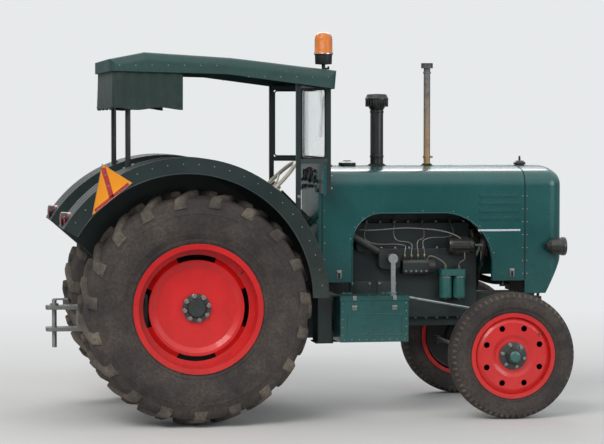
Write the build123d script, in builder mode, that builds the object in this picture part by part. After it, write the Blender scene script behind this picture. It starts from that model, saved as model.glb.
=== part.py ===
from build123d import *
import os
from math import cos, radians, sin

os.makedirs("parts", exist_ok=True)

# A four-wheeled farm tractor with a hood, mudguards, a windscreen and a hard roof.
# Millimetres. X points forward, Y to the left, Z up. The ground is Z = 0 and X = 0 is
# halfway between the trailer coupling's tip and the nose.

# Reach and stance
REACH_BACK = 890.0
REACH_FRONT = 2485.0
WHEELBASE = 2030.0
REAR_X = (REACH_BACK - REACH_FRONT) / 2
FRONT_X = REAR_X + WHEELBASE
SIDES = (("left", 1), ("right", -1))

# Clearances
SEAT_GAP = 0.3
RUN_GAP = 0.05

# Rear wheels: a 30 inch rim, tyre section 430 mm
REAR_R = 737.0
REAR_TYRE_W = 430.0
REAR_WALL_R = REAR_R - 200.0
REAR_TREAD = ((REAR_R - 70.0, 205.0), (REAR_R - 35.0, 0.0))
LUGS = 19
LUG_W = 50.0
LUG_LINE = ((0.0, -14.0), (-130.0, 213.0))
LUG_ROOT_R = REAR_R - 120.0
LUG_DROP = 52.0
BEAD_PLAY = 4.0
REAR_TRACK = 1400.0
REAR_RIM_SEAT_R = 381.0
REAR_FLANGE_R = 406.0
REAR_RIM_W = 356.0
REAR_RIM_T = 9.0
REAR_DISC_OUT = 57.0
REAR_DISC_T = 12.0
REAR_LIP_R = 290.0
REAR_LIP_RISE = 21.0
REAR_LIP_SPREAD = 40.0
REAR_LIP_HALF = 9.0
REAR_SKIRT_DROP = 5.0
REAR_SLOT_R = 317.0
REAR_SLOT_W = 32.0
REAR_SLOT_ANGLE = 44.0
REAR_HUB_R = 88.0
REAR_PILOT_R = 60.0
REAR_FLANGE_T = 22.0
REAR_FLANGE_LIP = 22.0
REAR_CAP_R = (52.0, 64.0)
REAR_CAP_H = (38.0, 22.0)
REAR_HUB_EDGE = 18.0
AXLE_SHAFT_R = 40.0
AXLE_SHAFT_IN = 75.0

# Front wheels: a 20 inch rim, tyre section 170 mm
FRONT_R = 405.0
FRONT_TYRE_W = 170.0
FRONT_TYRE_SIDES = 40
FRONT_WALL_R = FRONT_R - 70.0
FRONT_TREAD = ((FRONT_R - 26.0, 78.0), (FRONT_R, 48.0))
FRONT_TRACK = 1450.0
FRONT_RIM_SEAT_R = 254.0
FRONT_FLANGE_R = 274.0
FRONT_RIM_W = 130.0
FRONT_RIM_T = 7.0
FRONT_DISC_OUT = 40.0
FRONT_DISC_T = 8.0
FRONT_SWELL_R = (112.0, 137.0)
FRONT_SWELL = 10.0
FRONT_SKIRT_W = 34.0
FRONT_SKIRT_DROP = 8.0
FRONT_HUB_R = 88.0
FRONT_PILOT_R = 45.0
FRONT_CAP = ((0.0, 112.0), (24.0, 112.0), (35.0, 100.0), (35.0, 92.0), (45.0, 92.0), (52.0, 68.0))
FRONT_HUB_EDGE = 60.0
FRONT_HUB_FLANGE_T = 14.0
FRONT_HUB_NECK_R = (54.0, 46.0)
FRONT_HOLE_CIRCLE_R = 187.0
FRONT_HOLE_R = 19.0
FRONT_HOLES = 8

# Steering
KINGPIN_Y = 590.0
SPINDLE_R = 18.0
SLEEVE_R = 34.0
SLEEVE_LOW = 478.0
SLEEVE_HIGH = 612.0
SPINDLE_DEPTH = 40.0
SPINDLE_RISE = 10.0
STUB_R = 22.0
STUB_ROOT_R = 32.0
STUB_OUT = 60.0
STUB_END_PLAY = 4.0
STEER_ARM_W = 30.0
TIE_ARM = 180.0
TIE_Z = 372.0
TIE_ROD_R = 13.0
EYE_R = 22.0
ARM_T = 20.0
DROP_BACK = 690.0
DROP_X = FRONT_X - DROP_BACK
DROP_EYE_Z = 775.0
DROP_IN_Y = 331.0
DROP_T = 18.0
DROP_ARM_W = 30.0
DROP_BOSS_R = 32.0
DRAG_PIN_PROUD = 6.0
CROSS_SHAFT_IN = 60.0
DRAG_ROD_R = 8.0
DRAG_EYE_T = 18.0
DRAG_PIN_R = 9.0
CROSS_SHAFT_R = 16.0
STEER_BOX_X = (80.0, 60.0)
STEER_BOX_Z = (70.0, 60.0)
STEER_BOX_IN = 45.0
STEER_BOX_EDGE_R = 30.0
STEER_NECK_R = 32.0
STEER_TUBE_R = 22.0
STEER_TUBE_Y = 246.0
STEER_TUBE_FROM = (-60.0, 30.0)
STEER_TUBE_TO = (-260.0, 150.0)

# Drive train, castings and axle
HOUSING_BACK = 250.0
HOUSING_FRONT = 230.0
HOUSING_W = 420.0
HOUSING_LOW = 430.0
HOUSING_HIGH = 960.0
TRUMPET_ROOT_R = 130.0
TRUMPET_END_R = 85.0
GEARBOX_W = 330.0
GEARBOX_LOW = 480.0
BELL_W = 400.0
BELL_FRONT = 1040.0
BELL_LENGTH = 120.0
ENGINE_TO_AXLE = 90.0
ENGINE_FRONT = WHEELBASE - ENGINE_TO_AXLE
CASE_W = 330.0
CASE_LOW = 610.0
CASE_HIGH = 1060.0
HEAD_W = 240.0
HEAD_HIGH = 1230.0
ROCKER_W = 150.0
ROCKER_HIGH = 1290.0
SUMP_DROP = 60.0
PULLEY_R = 72.0
PULLEY_X = 40.0
CRANK_Z = 850.0
FAN_Z = 1105.0
FAN_R = 175.0
FAN_HUB_R = 38.0
FAN_HUB = 70.0
FAN_BLADES = 6
FAN_BLADE_W = 62.0
FAN_BLADE_T = 4.0
FAN_PITCH = 28.0
BREATHER_X = 1160.0
BREATHER_Z = 1085.0
BREATHER_R = 38.0
BREATHER_OUT = 205.0
PUMP_X = (1425.0, 1600.0)
PUMP_Z = (898.0, 988.0)
PUMP_W = 90.0
PUMP_UNIONS = 4
PUMP_UNION_R = 10.0
FILTER_X = (1720.0, 1812.0)
FILTER_R = 41.0
FILTER_Z = (735.0, 885.0)
FILTER_HEAD_H = 42.0
FILTER_W = 92.0
SUPPORT_W = 240.0
SUPPORT_FRONT = REACH_FRONT - 135.0
SUPPORT_LOW = 640.0
SUPPORT_HIGH = 760.0
BEAM_Z = 545.0
BEAM_H = 80.0
BEAM_T = 70.0
BEAM_MID = 120.0
BEAM_TAPER = 5.0
BEAM_RECESS_Y = (160.0, 500.0)
BEAM_RECESS = 18.0
BEAM_FLANGE = 18.0
PIVOT_R = 22.0

# Platform, steps and side box
PLATE_TOP = 800.0
PLATE_T = 10.0
PLATE_BACK = 140.0
PLATE_WIDE_BACK = 770.0
PLATE_FRONT = 915.0
PLATE_WIDE_Y = 640.0
STEP_LOW = 490.0
STEP_X = (778.0, 890.0)
STEP_IN_Y = 450.0
STEP_T = 8.0
HANGER_X = (790.0, 880.0)
HANGER_T = 6.0
BOX_BACK = 925.0
BOX_LENGTH = 440.0
BOX_IN_Y = 450.0
BOX_OUT_Y = 700.0
BOX_LOW = 500.0
BOX_HIGH = 786.0
BOX_T = 4.0
LID_T = 6.0
LID_EDGE = 6.0
LID_BACK_EDGE = 3.0
LID_RIM = (4.0, 22.0)
BRACKET_X = (20.0, 80.0)
BRACKET_T = 8.0
BRACKET_Z = (40.0, 120.0)
HINGE_R = 6.0
HINGE_PIN_R = 3.0
HINGE_X = (60.0, 320.0)
HINGE_LENGTH = 60.0
HINGE_EYE = 20.0
HINGE_PLAY = 1.0
HINGE_OFF = 2.0
HINGE_LEAF = 30.0

# Mudguards
GUARD_R = REAR_R + 148.0
GUARD_BACK = 70.0
GUARD_Z = REAR_R + 53.0
GUARD_T = 5.0
GUARD_IN_PLAY = 70.0
GUARD_LIP_BACK = 15.0
GUARD_IN_Y = REAR_TRACK / 2 - REAR_TYRE_W / 2 - GUARD_IN_PLAY
GUARD_OUT_Y = REAR_TRACK / 2 + REAR_TYRE_W / 2 - GUARD_LIP_BACK
GUARD_LIP = 100.0
GUARD_FROM = 0.7
GUARD_TO = 149.5
GUARD_FOOT_X = -330.0
SIGN_CORNERS = ((121.8, 114.0), (115.0, -76.0), (137.8, -89.0))
SIGN_T = 4.0
LAMP_ANGLE = 145.6
REAR_LAMP_R = 42.0
REAR_LAMP_Y = 620.0
REAR_LAMP_OUT = 28.0

# Hood and nose
DASH_X = 850.0
DASH_T = 20.0
DASH_WING_Y = 500.0
DASH_WING_LOW = 1435.0
DASH_TOP = 1630.0
NOSE_LENGTH = 259.0
HOOD_FRONT = REACH_FRONT - NOSE_LENGTH
HOOD_HALF = 330.0
HOOD_TOP = 1606.0
HOOD_DROP = 46.0
HOOD_SHOULDER_R = 105.0
HOOD_LOW = 855.0
HOOD_T = 5.0
ARCH_BACK = 1075.0
ARCH_FRONT = HOOD_FRONT - 219.0
ARCH_TOP = 1300.0
ARCH_BACK_R = 190.0
ARCH_FRONT_R = 330.0
ARCH_FLANGE = 40.0
RIB_X = (HOOD_FRONT - 306.0, HOOD_FRONT - 46.0)
RIB_ZS = (1415.0, 1365.0, 1315.0, 1265.0)
RIB_H = 20.0
RIB_PROUD = 6.0
NOSE_FRONT = REACH_FRONT
NOSE_LOW = 770.0
NOSE_EDGE_R = 92.0
NOSE_RAKE_Z = 1010.0
NOSE_RAKE_X = NOSE_FRONT - 117.0
GRILLE_HALF = 185.0
GRILLE_LOW = 1040.0
GRILLE_HIGH = 1500.0
GRILLE_T = 14.0
GRILLE_FRAME = 18.0
LAMP_R = 58.0
LAMP_Y = 385.0
LAMP_Z = 1080.0

# Things that stand on or under the hood
STACK_X = 1300.0
STACK_R = 43.0
STACK_TOP = 2083.0
STACK_CAP_R = 75.0
CLEANER_R = 80.0
CLEANER_TOP = 1470.0
EXHAUST_X = 1640.0
EXHAUST_R = 22.0
EXHAUST_TOP = 2285.0
MANIFOLD_Z = 1150.0
MANIFOLD_R = 36.0
FILLER_X = 1100.0
FILLER_CAP_R = 55.0
RADIATOR_BACK = HOOD_FRONT + 14.0
RADIATOR_T = 85.0
RADIATOR_HALF = 235.0
RADIATOR_TOP = 1560.0
RADIATOR_CAP_X = HOOD_FRONT + 50.0
RADIATOR_NECK_R = 30.0
HOLE_PLAY = 3.0

# Windscreen, roof and beacon
PILLAR_W = 30.0
SCREEN_HALF = 500.0
SCREEN_BACK_X = 680.0
SCREEN_BACK_HALF = 550.0
SCREEN_RAIL = 30.0
BACK_PILLAR_DROP = 6.0
BACK_PILLAR_LOW = 1100.0
SCREEN_TOP = 2140.0
GLASS_T = 5.0
ROOF_HALF = 600.0
ROOF_BACK = 520.0
ROOF_FRONT = 925.0
ROOF_T = 14.0
ROOF_BACK_Z = 2290.0
RIDGE_BACK = -300.0
RIDGE_BACK_Z = 2333.0
RIDGE_FRONT = 250.0
RIDGE_FRONT_Z = 2300.0
ROOF_FRONT_Z = 2222.0
ROOF_RAKE = 10.0
EAVES_BACK_Z = 2215.0
EAVES_FRONT_Z = 2105.0
EAVES_MID = 221.0
EAVES_MID_Z = 2196.0
ROOF_EDGE_R = 55.0
CURTAIN_LOW = 1970.0
CURTAIN_TOP = 2228.0
CURTAIN_FRONT = -60.0
CURTAIN_T = 8.0
POST_X = -400.0
POST_Y = 500.0
POST_R = 17.0
POST_LOW = 600.0
BEACON_X = 860.0
BEACON_Y = 450.0
BEACON_R = 60.0
BEACON_STEM_R = 12.0
BEACON_STEM = 33.0
BEACON_BASE_H = 64.0
BEACON_H = 204.0

# Driver's place
WHEEL_X = 600.0
WHEEL_Z = 1480.0
WHEEL_R = 220.0
WHEEL_RIM_R = 13.0
WHEEL_TILT = 45.0
COLUMN_R = 24.0
COLUMN_SHAFT_R = 11.0
SEAT_X = 30.0
SEAT_W = 460.0
SEAT_TOP = 1200.0
SEAT_CUSHION_T = 80.0
SEAT_PAN_T = 6.0
SEAT_PAN_HALF = 210.0
SEAT_POST = (120.0, 140.0)
SEAT_BACK_H = 230.0
SEAT_EDGE = 5.0
BACK_CUSHION_T = 45.0
BACK_CUSHION_EDGE = 12.0
CUSHION_R = 50.0
ARMREST = 260.0
ARMREST_H = 60.0

# Coupling and power take-off
JAW_X = 650.0
JAW_W = 130.0
JAW_LOW = 540.0
JAW_HIGH = 705.0
JAW_PLATE = 24.0
JAW_EDGE_R = 30.0
JAW_DEPTH = 200.0
HITCH_PLATE_T = 24.0
HITCH_PLATE_HALF = 140.0
HITCH_PLATE_Z = (540.0, 760.0)
HITCH_NECK = 90.0
HITCH_NECK_DROP = 15.0
HITCH_PIN_BACK = 55.0
HITCH_PIN_RISE = 40.0
HITCH_COLLAR = (12.0, 14.0)
HITCH_HANDLE_X = (8.0, 90.0)
HITCH_HANDLE_T = 12.0
HITCH_PIN_R = 15.5
HITCH_PIN_LOW = 433.0
PTO_R = 17.46
PTO_LENGTH = 76.0
PTO_Z = 850.0
PTO_BOSS_R = 45.0
PTO_BOSS = 20.0


def ahead(x):
    """Place along X of a point that lies x ahead of the rear axle line."""
    return REAR_X + x


def finish(builder, name):
    """Label a finished piece and write its file."""
    builder.part.label = name
    export_step(builder.part, f"parts/{name}.step")


def axle_plane(x, z, side, y=0.0):
    """Section plane on an axle line: its X is up and its Y is outboard on that side."""
    return Plane(origin=(x, side * y, z), x_dir=(0, 0, 1), z_dir=(-side, 0, 0))


def turn(plane, outline, mode=Mode.ADD):
    """Turn a closed outline of (radius, distance outboard) about the plane's Y."""
    with BuildSketch(plane) as section:
        with BuildLine():
            Polyline(*outline, close=True)
        make_face()
    revolve(section.sketch, axis=Axis(plane.origin, plane.y_dir), mode=mode)


def block(x, y, z, mode=Mode.ADD):
    """Box between the two ends given for each of X, Y and Z."""
    with Locations((sum(x) / 2, sum(y) / 2, sum(z) / 2)):
        Box(abs(x[1] - x[0]), abs(y[1] - y[0]), abs(z[1] - z[0]), mode=mode)


def rod(start, end, radius, mode=Mode.ADD):
    """Round bar between two points."""
    line = Vector(end) - Vector(start)
    with BuildSketch(Plane(origin=start, z_dir=line)) as section:
        Circle(radius)
    extrude(section.sketch, amount=line.length, mode=mode)


def bar(start, end, width, height, mode=Mode.ADD):
    """Level square bar between two points, width across it and height up."""
    line = Vector(end) - Vector(start)
    across = Vector(0, 0, 1).cross(line).normalized()
    with BuildSketch(Plane(origin=start, x_dir=across, z_dir=line)) as section:
        Rectangle(width, height)
    extrude(section.sketch, amount=line.length, mode=mode)


def side_plane(y):
    """Plane of side views at this Y: its X and Y are the part's X and Z, its normal is -Y."""
    return Plane.XZ.offset(-y)


def side_panel(outline, y, mode=Mode.ADD):
    """Plate with a closed outline of (x, z), between the two Y values."""
    with BuildSketch(side_plane(max(y))) as section:
        with BuildLine():
            Polyline(*outline, close=True)
        make_face()
    extrude(section.sketch, amount=abs(y[1] - y[0]), mode=mode)


# Rear wheels: tyre, rim with its dished disc, and hub


def many_sided(plane, rings, sides, flats_out, mode=Mode.ADD):
    """Flat-sided solid through rings of (radius, distance outboard) on the axle line.

    The radius is that of the corners, or of the middles of the flats where flats_out is set.
    """
    stretch = 1 / cos(radians(180 / sides)) if flats_out else 1.0
    first_angle = 180 / sides if flats_out else 0.0
    rows = []
    for radius, out in rings:
        row = []
        for index in range(sides):
            angle = radians(first_angle + index * 360 / sides)
            corner = (radius * stretch * cos(angle), out, radius * stretch * sin(angle))
            row.append(plane.from_local_coords(corner))
        rows.append(row)
    flats = [Face(Wire.make_polygon(rows[0])), Face(Wire.make_polygon(rows[-1]))]
    for near, far in zip(rows, rows[1:]):
        for index in range(sides):
            corners = [near[index - 1], near[index], far[index], far[index - 1]]
            flats.append(Face(Wire.make_polygon(corners)))
    add(Solid(Shell(flats)), mode=mode)


def tyre(plane, sides, tread, wall_mid, bead, bore_r, flats_out):
    """Tyre body: its tread rings, the widest ring of its walls, its bead and its bore."""
    wall = [wall_mid, *tread]
    rings = [(radius, -out) for radius, out in wall]
    rings += [(radius, out) for radius, out in reversed(wall) if out > 0]
    many_sided(plane, rings, sides, flats_out)
    for end in (-1, 1):
        dish = [(wall_mid[0], end * wall_mid[1]), (bead[0], end * bead[1])]
        many_sided(plane, dish, sides, flats_out, Mode.SUBTRACT)
    bore_plane = Plane(
        origin=plane.origin - plane.y_dir * wall_mid[1], x_dir=plane.x_dir, z_dir=plane.y_dir
    )
    with BuildSketch(bore_plane) as section:
        RegularPolygon(bore_r, sides, major_radius=False, rotation=180 / sides if flats_out else 0)
    extrude(section.sketch, amount=2 * wall_mid[1], mode=Mode.SUBTRACT)


def lug_bar():
    """One tyre lug at the top of a wheel at the origin, from the tread's middle towards +Y."""
    inner, outer = LUG_LINE
    half = LUG_W / 2
    rise = REAR_R - LUG_ROOT_R
    with BuildPart() as bar_form:
        with BuildSketch(Plane.XY.offset(LUG_ROOT_R)):
            with BuildLine():
                Polyline(
                    (inner[0] - half, inner[1]),
                    (inner[0] + half, inner[1]),
                    (outer[0] + half, outer[1]),
                    (outer[0] - half, outer[1]),
                    close=True,
                )
            make_face()
        extrude(amount=1.1 * rise)
        tip_slope = LUG_DROP / (outer[1] - inner[1])
        split(bisect_by=Plane(origin=(0, inner[1], REAR_R), z_dir=(0, tip_slope, 1)), keep=Keep.BOTTOM)
    return bar_form.part


def rim_outline(seat_r, flange_r, width, thickness):
    """Straight barrel with an upturned flange at each edge, as (radius, distance)."""
    inner = seat_r - thickness
    half = width / 2
    bead = half - thickness
    return [
        (inner, -half),
        (inner, half),
        (flange_r, half),
        (flange_r, bead),
        (seat_r, bead),
        (seat_r, -bead),
        (flange_r, -bead),
        (flange_r, -half),
    ]


lug_form = lug_bar()
lug_mirrored = mirror(lug_form, about=Plane.XZ)
REAR_AXLE_END = REAR_TRACK / 2 + 5.0
for side_name, side in SIDES:
    wheel_plane = axle_plane(REAR_X, REAR_R, side, REAR_TRACK / 2)
    with BuildPart() as rear_tyre:
        tyre(
            wheel_plane,
            2 * LUGS,
            REAR_TREAD,
            (REAR_WALL_R, REAR_TYRE_W / 2),
            (REAR_FLANGE_R + BEAD_PLAY, REAR_RIM_W / 2 - REAR_RIM_T),
            REAR_RIM_SEAT_R + RUN_GAP,
            False,
        )
        lugs = []
        for index in range(2 * LUGS):
            lug = lug_form if index % 2 == 0 else lug_mirrored
            lug_turned = Rotation(0, 180 + index * 180 / LUGS, 0) * lug
            lugs.append(Pos(REAR_X, side * REAR_TRACK / 2, REAR_R) * lug_turned)
        add(lugs)
    finish(rear_tyre, f"rear_tyre_{side_name}")

    with BuildPart() as rear_wheel:
        turn(wheel_plane, rim_outline(REAR_RIM_SEAT_R, REAR_FLANGE_R, REAR_RIM_W, REAR_RIM_T))
        barrel_in = REAR_RIM_SEAT_R - REAR_RIM_T
        face = REAR_DISC_OUT
        crest = face + REAR_LIP_RISE
        back = face - REAR_DISC_T
        disc_line = [
            (REAR_PILOT_R, face),
            (REAR_LIP_R - REAR_LIP_SPREAD, face),
            (REAR_LIP_R - REAR_LIP_HALF, crest),
            (REAR_LIP_R + REAR_LIP_HALF, crest),
            (REAR_LIP_R + REAR_LIP_SPREAD, face - REAR_SKIRT_DROP),
            (barrel_in, face - REAR_SKIRT_DROP),
        ]
        disc_back = [(radius, out - REAR_DISC_T) for radius, out in reversed(disc_line)]
        turn(wheel_plane, disc_line + disc_back)
        with BuildSketch(side_plane(side * (REAR_TRACK / 2 + face))):
            for quarter in range(4):
                slot_from = 90 * quarter - REAR_SLOT_ANGLE / 2
                with BuildLine():
                    ends = []
                    for edge in (-REAR_SLOT_W / 2, REAR_SLOT_W / 2):
                        slot_r = REAR_SLOT_R + edge
                        ends.append(CenterArc((REAR_X, REAR_R), slot_r, slot_from, REAR_SLOT_ANGLE))
                    Line(ends[0] @ 0, ends[1] @ 0)
                    Line(ends[0] @ 1, ends[1] @ 1)
                make_face()
        extrude(amount=2 * REAR_LIP_RISE + REAR_DISC_T, both=True, mode=Mode.SUBTRACT)
    finish(rear_wheel, f"rear_wheel_{side_name}")

    with BuildPart() as rear_hub:
        turn(
            wheel_plane,
            [
                (0, face + REAR_CAP_H[0]),
                (REAR_CAP_R[0], face + REAR_CAP_H[0]),
                (REAR_CAP_R[1], face + REAR_CAP_H[1]),
                (REAR_HUB_R, face + REAR_HUB_EDGE),
                (REAR_HUB_R, face),
                (REAR_PILOT_R, face),
                (REAR_PILOT_R, back),
                (REAR_HUB_R + REAR_FLANGE_LIP, back),
                (REAR_HUB_R + REAR_FLANGE_LIP, back - REAR_FLANGE_T),
                (REAR_CAP_R[1], back - REAR_FLANGE_T),
                (REAR_CAP_R[1], REAR_AXLE_END - REAR_TRACK / 2),
                (AXLE_SHAFT_R, REAR_AXLE_END - REAR_TRACK / 2),
                (AXLE_SHAFT_R, -AXLE_SHAFT_IN),
                (0, -AXLE_SHAFT_IN),
            ],
        )
    finish(rear_hub, f"rear_hub_{side_name}")

# Front wheels: tyre, rim with its holed disc, and hub with a cap

FRONT_HUB_IN = -60.0
for side_name, side in SIDES:
    wheel_plane = axle_plane(FRONT_X, FRONT_R, side, FRONT_TRACK / 2)
    with BuildPart() as front_tyre:
        tyre(
            wheel_plane,
            FRONT_TYRE_SIDES,
            FRONT_TREAD,
            (FRONT_WALL_R, FRONT_TYRE_W / 2),
            (FRONT_FLANGE_R + BEAD_PLAY, FRONT_RIM_W / 2 - FRONT_RIM_T),
            FRONT_RIM_SEAT_R + RUN_GAP,
            True,
        )
    finish(front_tyre, f"front_tyre_{side_name}")

    with BuildPart() as front_wheel:
        turn(wheel_plane, rim_outline(FRONT_RIM_SEAT_R, FRONT_FLANGE_R, FRONT_RIM_W, FRONT_RIM_T))
        barrel_in = FRONT_RIM_SEAT_R - FRONT_RIM_T
        face = FRONT_DISC_OUT + FRONT_DISC_T
        back = FRONT_DISC_OUT
        disc_line = [
            (FRONT_PILOT_R, face),
            (FRONT_SWELL_R[0], face),
            (FRONT_SWELL_R[1], face + FRONT_SWELL),
            (barrel_in - FRONT_SKIRT_W, face + FRONT_SWELL),
            (barrel_in, face - FRONT_SKIRT_DROP),
        ]
        disc_back = [(radius, out - FRONT_DISC_T) for radius, out in reversed(disc_line)]
        turn(wheel_plane, disc_line + disc_back)
        with BuildSketch(side_plane(side * (FRONT_TRACK / 2 + face))):
            with Locations((FRONT_X, FRONT_R)):
                with PolarLocations(FRONT_HOLE_CIRCLE_R, FRONT_HOLES, 180 / FRONT_HOLES):
                    Circle(FRONT_HOLE_R)
        extrude(amount=4 * FRONT_DISC_T, both=True, mode=Mode.SUBTRACT)
    finish(front_wheel, f"front_wheel_{side_name}")

    with BuildPart() as front_hub:
        turn(
            wheel_plane,
            [
                *FRONT_CAP,
                (FRONT_HUB_R, FRONT_HUB_EDGE),
                (FRONT_HUB_R, face),
                (FRONT_PILOT_R, face),
                (FRONT_PILOT_R, back),
                (FRONT_HUB_R, back),
                (FRONT_HUB_R, back - FRONT_HUB_FLANGE_T),
                (FRONT_HUB_NECK_R[0], back - FRONT_HUB_FLANGE_T),
                (FRONT_HUB_NECK_R[1], FRONT_HUB_IN),
                (STUB_R + RUN_GAP, FRONT_HUB_IN),
                (STUB_R + RUN_GAP, STUB_OUT + STUB_END_PLAY),
                (0, STUB_OUT + STUB_END_PLAY),
            ],
        )
    finish(front_hub, f"front_hub_{side_name}")

# Front axle, knuckles and steering rods

with BuildPart() as front_axle:
    half = KINGPIN_Y - SLEEVE_R / 2
    with BuildSketch(Plane.YZ.offset(FRONT_X - BEAM_T / 2)):
        with BuildLine():
            Polyline(
                (-half, BEAM_Z - BEAM_H / 2 + BEAM_TAPER),
                (-BEAM_MID, BEAM_Z - BEAM_H / 2 - BEAM_TAPER),
                (BEAM_MID, BEAM_Z - BEAM_H / 2 - BEAM_TAPER),
                (half, BEAM_Z - BEAM_H / 2 + BEAM_TAPER),
                (half, BEAM_Z + BEAM_H / 2 - BEAM_TAPER),
                (BEAM_MID, BEAM_Z + BEAM_H / 2 + BEAM_TAPER),
                (-BEAM_MID, BEAM_Z + BEAM_H / 2 + BEAM_TAPER),
                (-half, BEAM_Z + BEAM_H / 2 - BEAM_TAPER),
                close=True,
            )
        make_face()
    extrude(amount=BEAM_T)
    with Locations((FRONT_X, 0, BEAM_Z)):
        for side_name, side in SIDES:
            for face_x in (-1, 1):
                with Locations((face_x * BEAM_T / 2, side * sum(BEAM_RECESS_Y) / 2, 0)):
                    recess_length = BEAM_RECESS_Y[1] - BEAM_RECESS_Y[0]
                    Box(2 * BEAM_RECESS, recess_length, BEAM_H - 2 * BEAM_FLANGE, mode=Mode.SUBTRACT)
    for side_name, side in SIDES:
        rod((FRONT_X, side * KINGPIN_Y, SLEEVE_LOW), (FRONT_X, side * KINGPIN_Y, SLEEVE_HIGH), SLEEVE_R)
    for side_name, side in SIDES:
        rod(
            (FRONT_X, side * KINGPIN_Y, SLEEVE_LOW),
            (FRONT_X, side * KINGPIN_Y, SLEEVE_HIGH),
            SPINDLE_R + RUN_GAP,
            Mode.SUBTRACT,
        )
    rod((FRONT_X - BEAM_T, 0, BEAM_Z), (FRONT_X + BEAM_T, 0, BEAM_Z), PIVOT_R + RUN_GAP, Mode.SUBTRACT)
finish(front_axle, "front_axle")

DRAG_Y = DROP_IN_Y + DROP_T + SEAT_GAP + DRAG_EYE_T / 2
DRAG_ARM = KINGPIN_Y - DRAG_Y
DROP_PIVOT_Z = DROP_EYE_Z + DRAG_ARM
ARM_LOW = SLEEVE_HIGH + SEAT_GAP
DRAG_END_LOW = ARM_LOW + ARM_T + SEAT_GAP
DRAG_END_H = 30.0
STUB_SHOULDER = FRONT_TRACK / 2 + FRONT_HUB_IN - SEAT_GAP
for side_name, side in SIDES:
    pin_y = side * KINGPIN_Y
    with BuildPart() as knuckle:
        rod((FRONT_X, pin_y, TIE_Z - ARM_T / 2), (FRONT_X, pin_y, SLEEVE_LOW - SEAT_GAP), SLEEVE_R)
        rod(
            (FRONT_X, pin_y, SLEEVE_LOW - SPINDLE_DEPTH),
            (FRONT_X, pin_y, ARM_LOW + ARM_T + SPINDLE_RISE),
            SPINDLE_R,
        )
        rod((FRONT_X, pin_y, FRONT_R), (FRONT_X, side * STUB_SHOULDER, FRONT_R), STUB_ROOT_R)
        rod((FRONT_X, pin_y, FRONT_R), (FRONT_X, side * (FRONT_TRACK / 2 + STUB_OUT), FRONT_R), STUB_R)
        block(
            (FRONT_X - TIE_ARM, FRONT_X),
            (pin_y - STEER_ARM_W / 2, pin_y + STEER_ARM_W / 2),
            (TIE_Z - ARM_T / 2, TIE_Z + ARM_T / 2),
        )
        tie_x = FRONT_X - TIE_ARM
        rod((tie_x, pin_y, TIE_Z - ARM_T / 2), (tie_x, pin_y, TIE_Z + ARM_T / 2), EYE_R)
        rod(
            (tie_x, pin_y, TIE_Z - ARM_T),
            (tie_x, pin_y, TIE_Z + ARM_T),
            DRAG_PIN_R + RUN_GAP,
            Mode.SUBTRACT,
        )
        if side < 0:
            rod((FRONT_X, pin_y, ARM_LOW), (FRONT_X, pin_y, ARM_LOW + ARM_T), SLEEVE_R)
            steer_arm_x = (FRONT_X - STEER_ARM_W / 2, FRONT_X + STEER_ARM_W / 2)
            block(steer_arm_x, (-DRAG_Y, pin_y), (ARM_LOW, ARM_LOW + ARM_T))
            rod((FRONT_X, -DRAG_Y, ARM_LOW), (FRONT_X, -DRAG_Y, ARM_LOW + ARM_T), EYE_R)
        else:
            rod((FRONT_X, pin_y, ARM_LOW), (FRONT_X, pin_y, ARM_LOW + ARM_T / 2), STUB_ROOT_R)
    finish(knuckle, f"knuckle_{side_name}")

with BuildPart() as tie_rod:
    end_low = TIE_Z + ARM_T / 2 + SEAT_GAP
    rod_z = end_low + DRAG_END_H / 2
    rod((tie_x, -KINGPIN_Y, rod_z), (tie_x, KINGPIN_Y, rod_z), TIE_ROD_R)
    for side_name, side in SIDES:
        rod((tie_x, side * KINGPIN_Y, end_low), (tie_x, side * KINGPIN_Y, end_low + DRAG_END_H), EYE_R)
        rod((tie_x, side * KINGPIN_Y, TIE_Z - ARM_T), (tie_x, side * KINGPIN_Y, rod_z), DRAG_PIN_R)
finish(tie_rod, "tie_rod")

with BuildPart() as drop_arm:
    eye_out = DROP_IN_Y + DROP_T
    rod((DROP_X, -DROP_IN_Y, DROP_PIVOT_Z), (DROP_X, -eye_out, DROP_PIVOT_Z), DROP_BOSS_R)
    rod((DROP_X, -DROP_IN_Y, DROP_EYE_Z), (DROP_X, -eye_out, DROP_EYE_Z), EYE_R)
    drop_arm_x = (DROP_X - DROP_ARM_W / 2, DROP_X + DROP_ARM_W / 2)
    block(drop_arm_x, (-DROP_IN_Y, -eye_out), (DROP_EYE_Z, DROP_PIVOT_Z))
    shaft_in = DROP_IN_Y - CROSS_SHAFT_IN
    rod((DROP_X, -shaft_in, DROP_PIVOT_Z), (DROP_X, -eye_out, DROP_PIVOT_Z), CROSS_SHAFT_R)
    pin_end = eye_out + SEAT_GAP + DRAG_EYE_T + DRAG_PIN_PROUD
    rod((DROP_X, -eye_out, DROP_EYE_Z), (DROP_X, -pin_end, DROP_EYE_Z), DRAG_PIN_R)
finish(drop_arm, "drop_arm")

with BuildPart() as drag_link:
    eye_in = DRAG_Y - DRAG_EYE_T / 2
    eye_face = DRAG_Y + DRAG_EYE_T / 2
    end_mid = DRAG_END_LOW + DRAG_END_H / 2
    rod((DROP_X, -DRAG_Y, DROP_EYE_Z), (FRONT_X, -DRAG_Y, end_mid), DRAG_ROD_R)
    rod((DROP_X, -eye_in, DROP_EYE_Z), (DROP_X, -eye_face, DROP_EYE_Z), EYE_R)
    rod((FRONT_X, -DRAG_Y, DRAG_END_LOW), (FRONT_X, -DRAG_Y, DRAG_END_LOW + DRAG_END_H), EYE_R)
    rod(
        (DROP_X, -eye_in, DROP_EYE_Z),
        (DROP_X, -eye_face, DROP_EYE_Z),
        DRAG_PIN_R + RUN_GAP,
        Mode.SUBTRACT,
    )
finish(drag_link, "drag_link")

# Rear axle, gearbox, engine and front support, one behind the other

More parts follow.
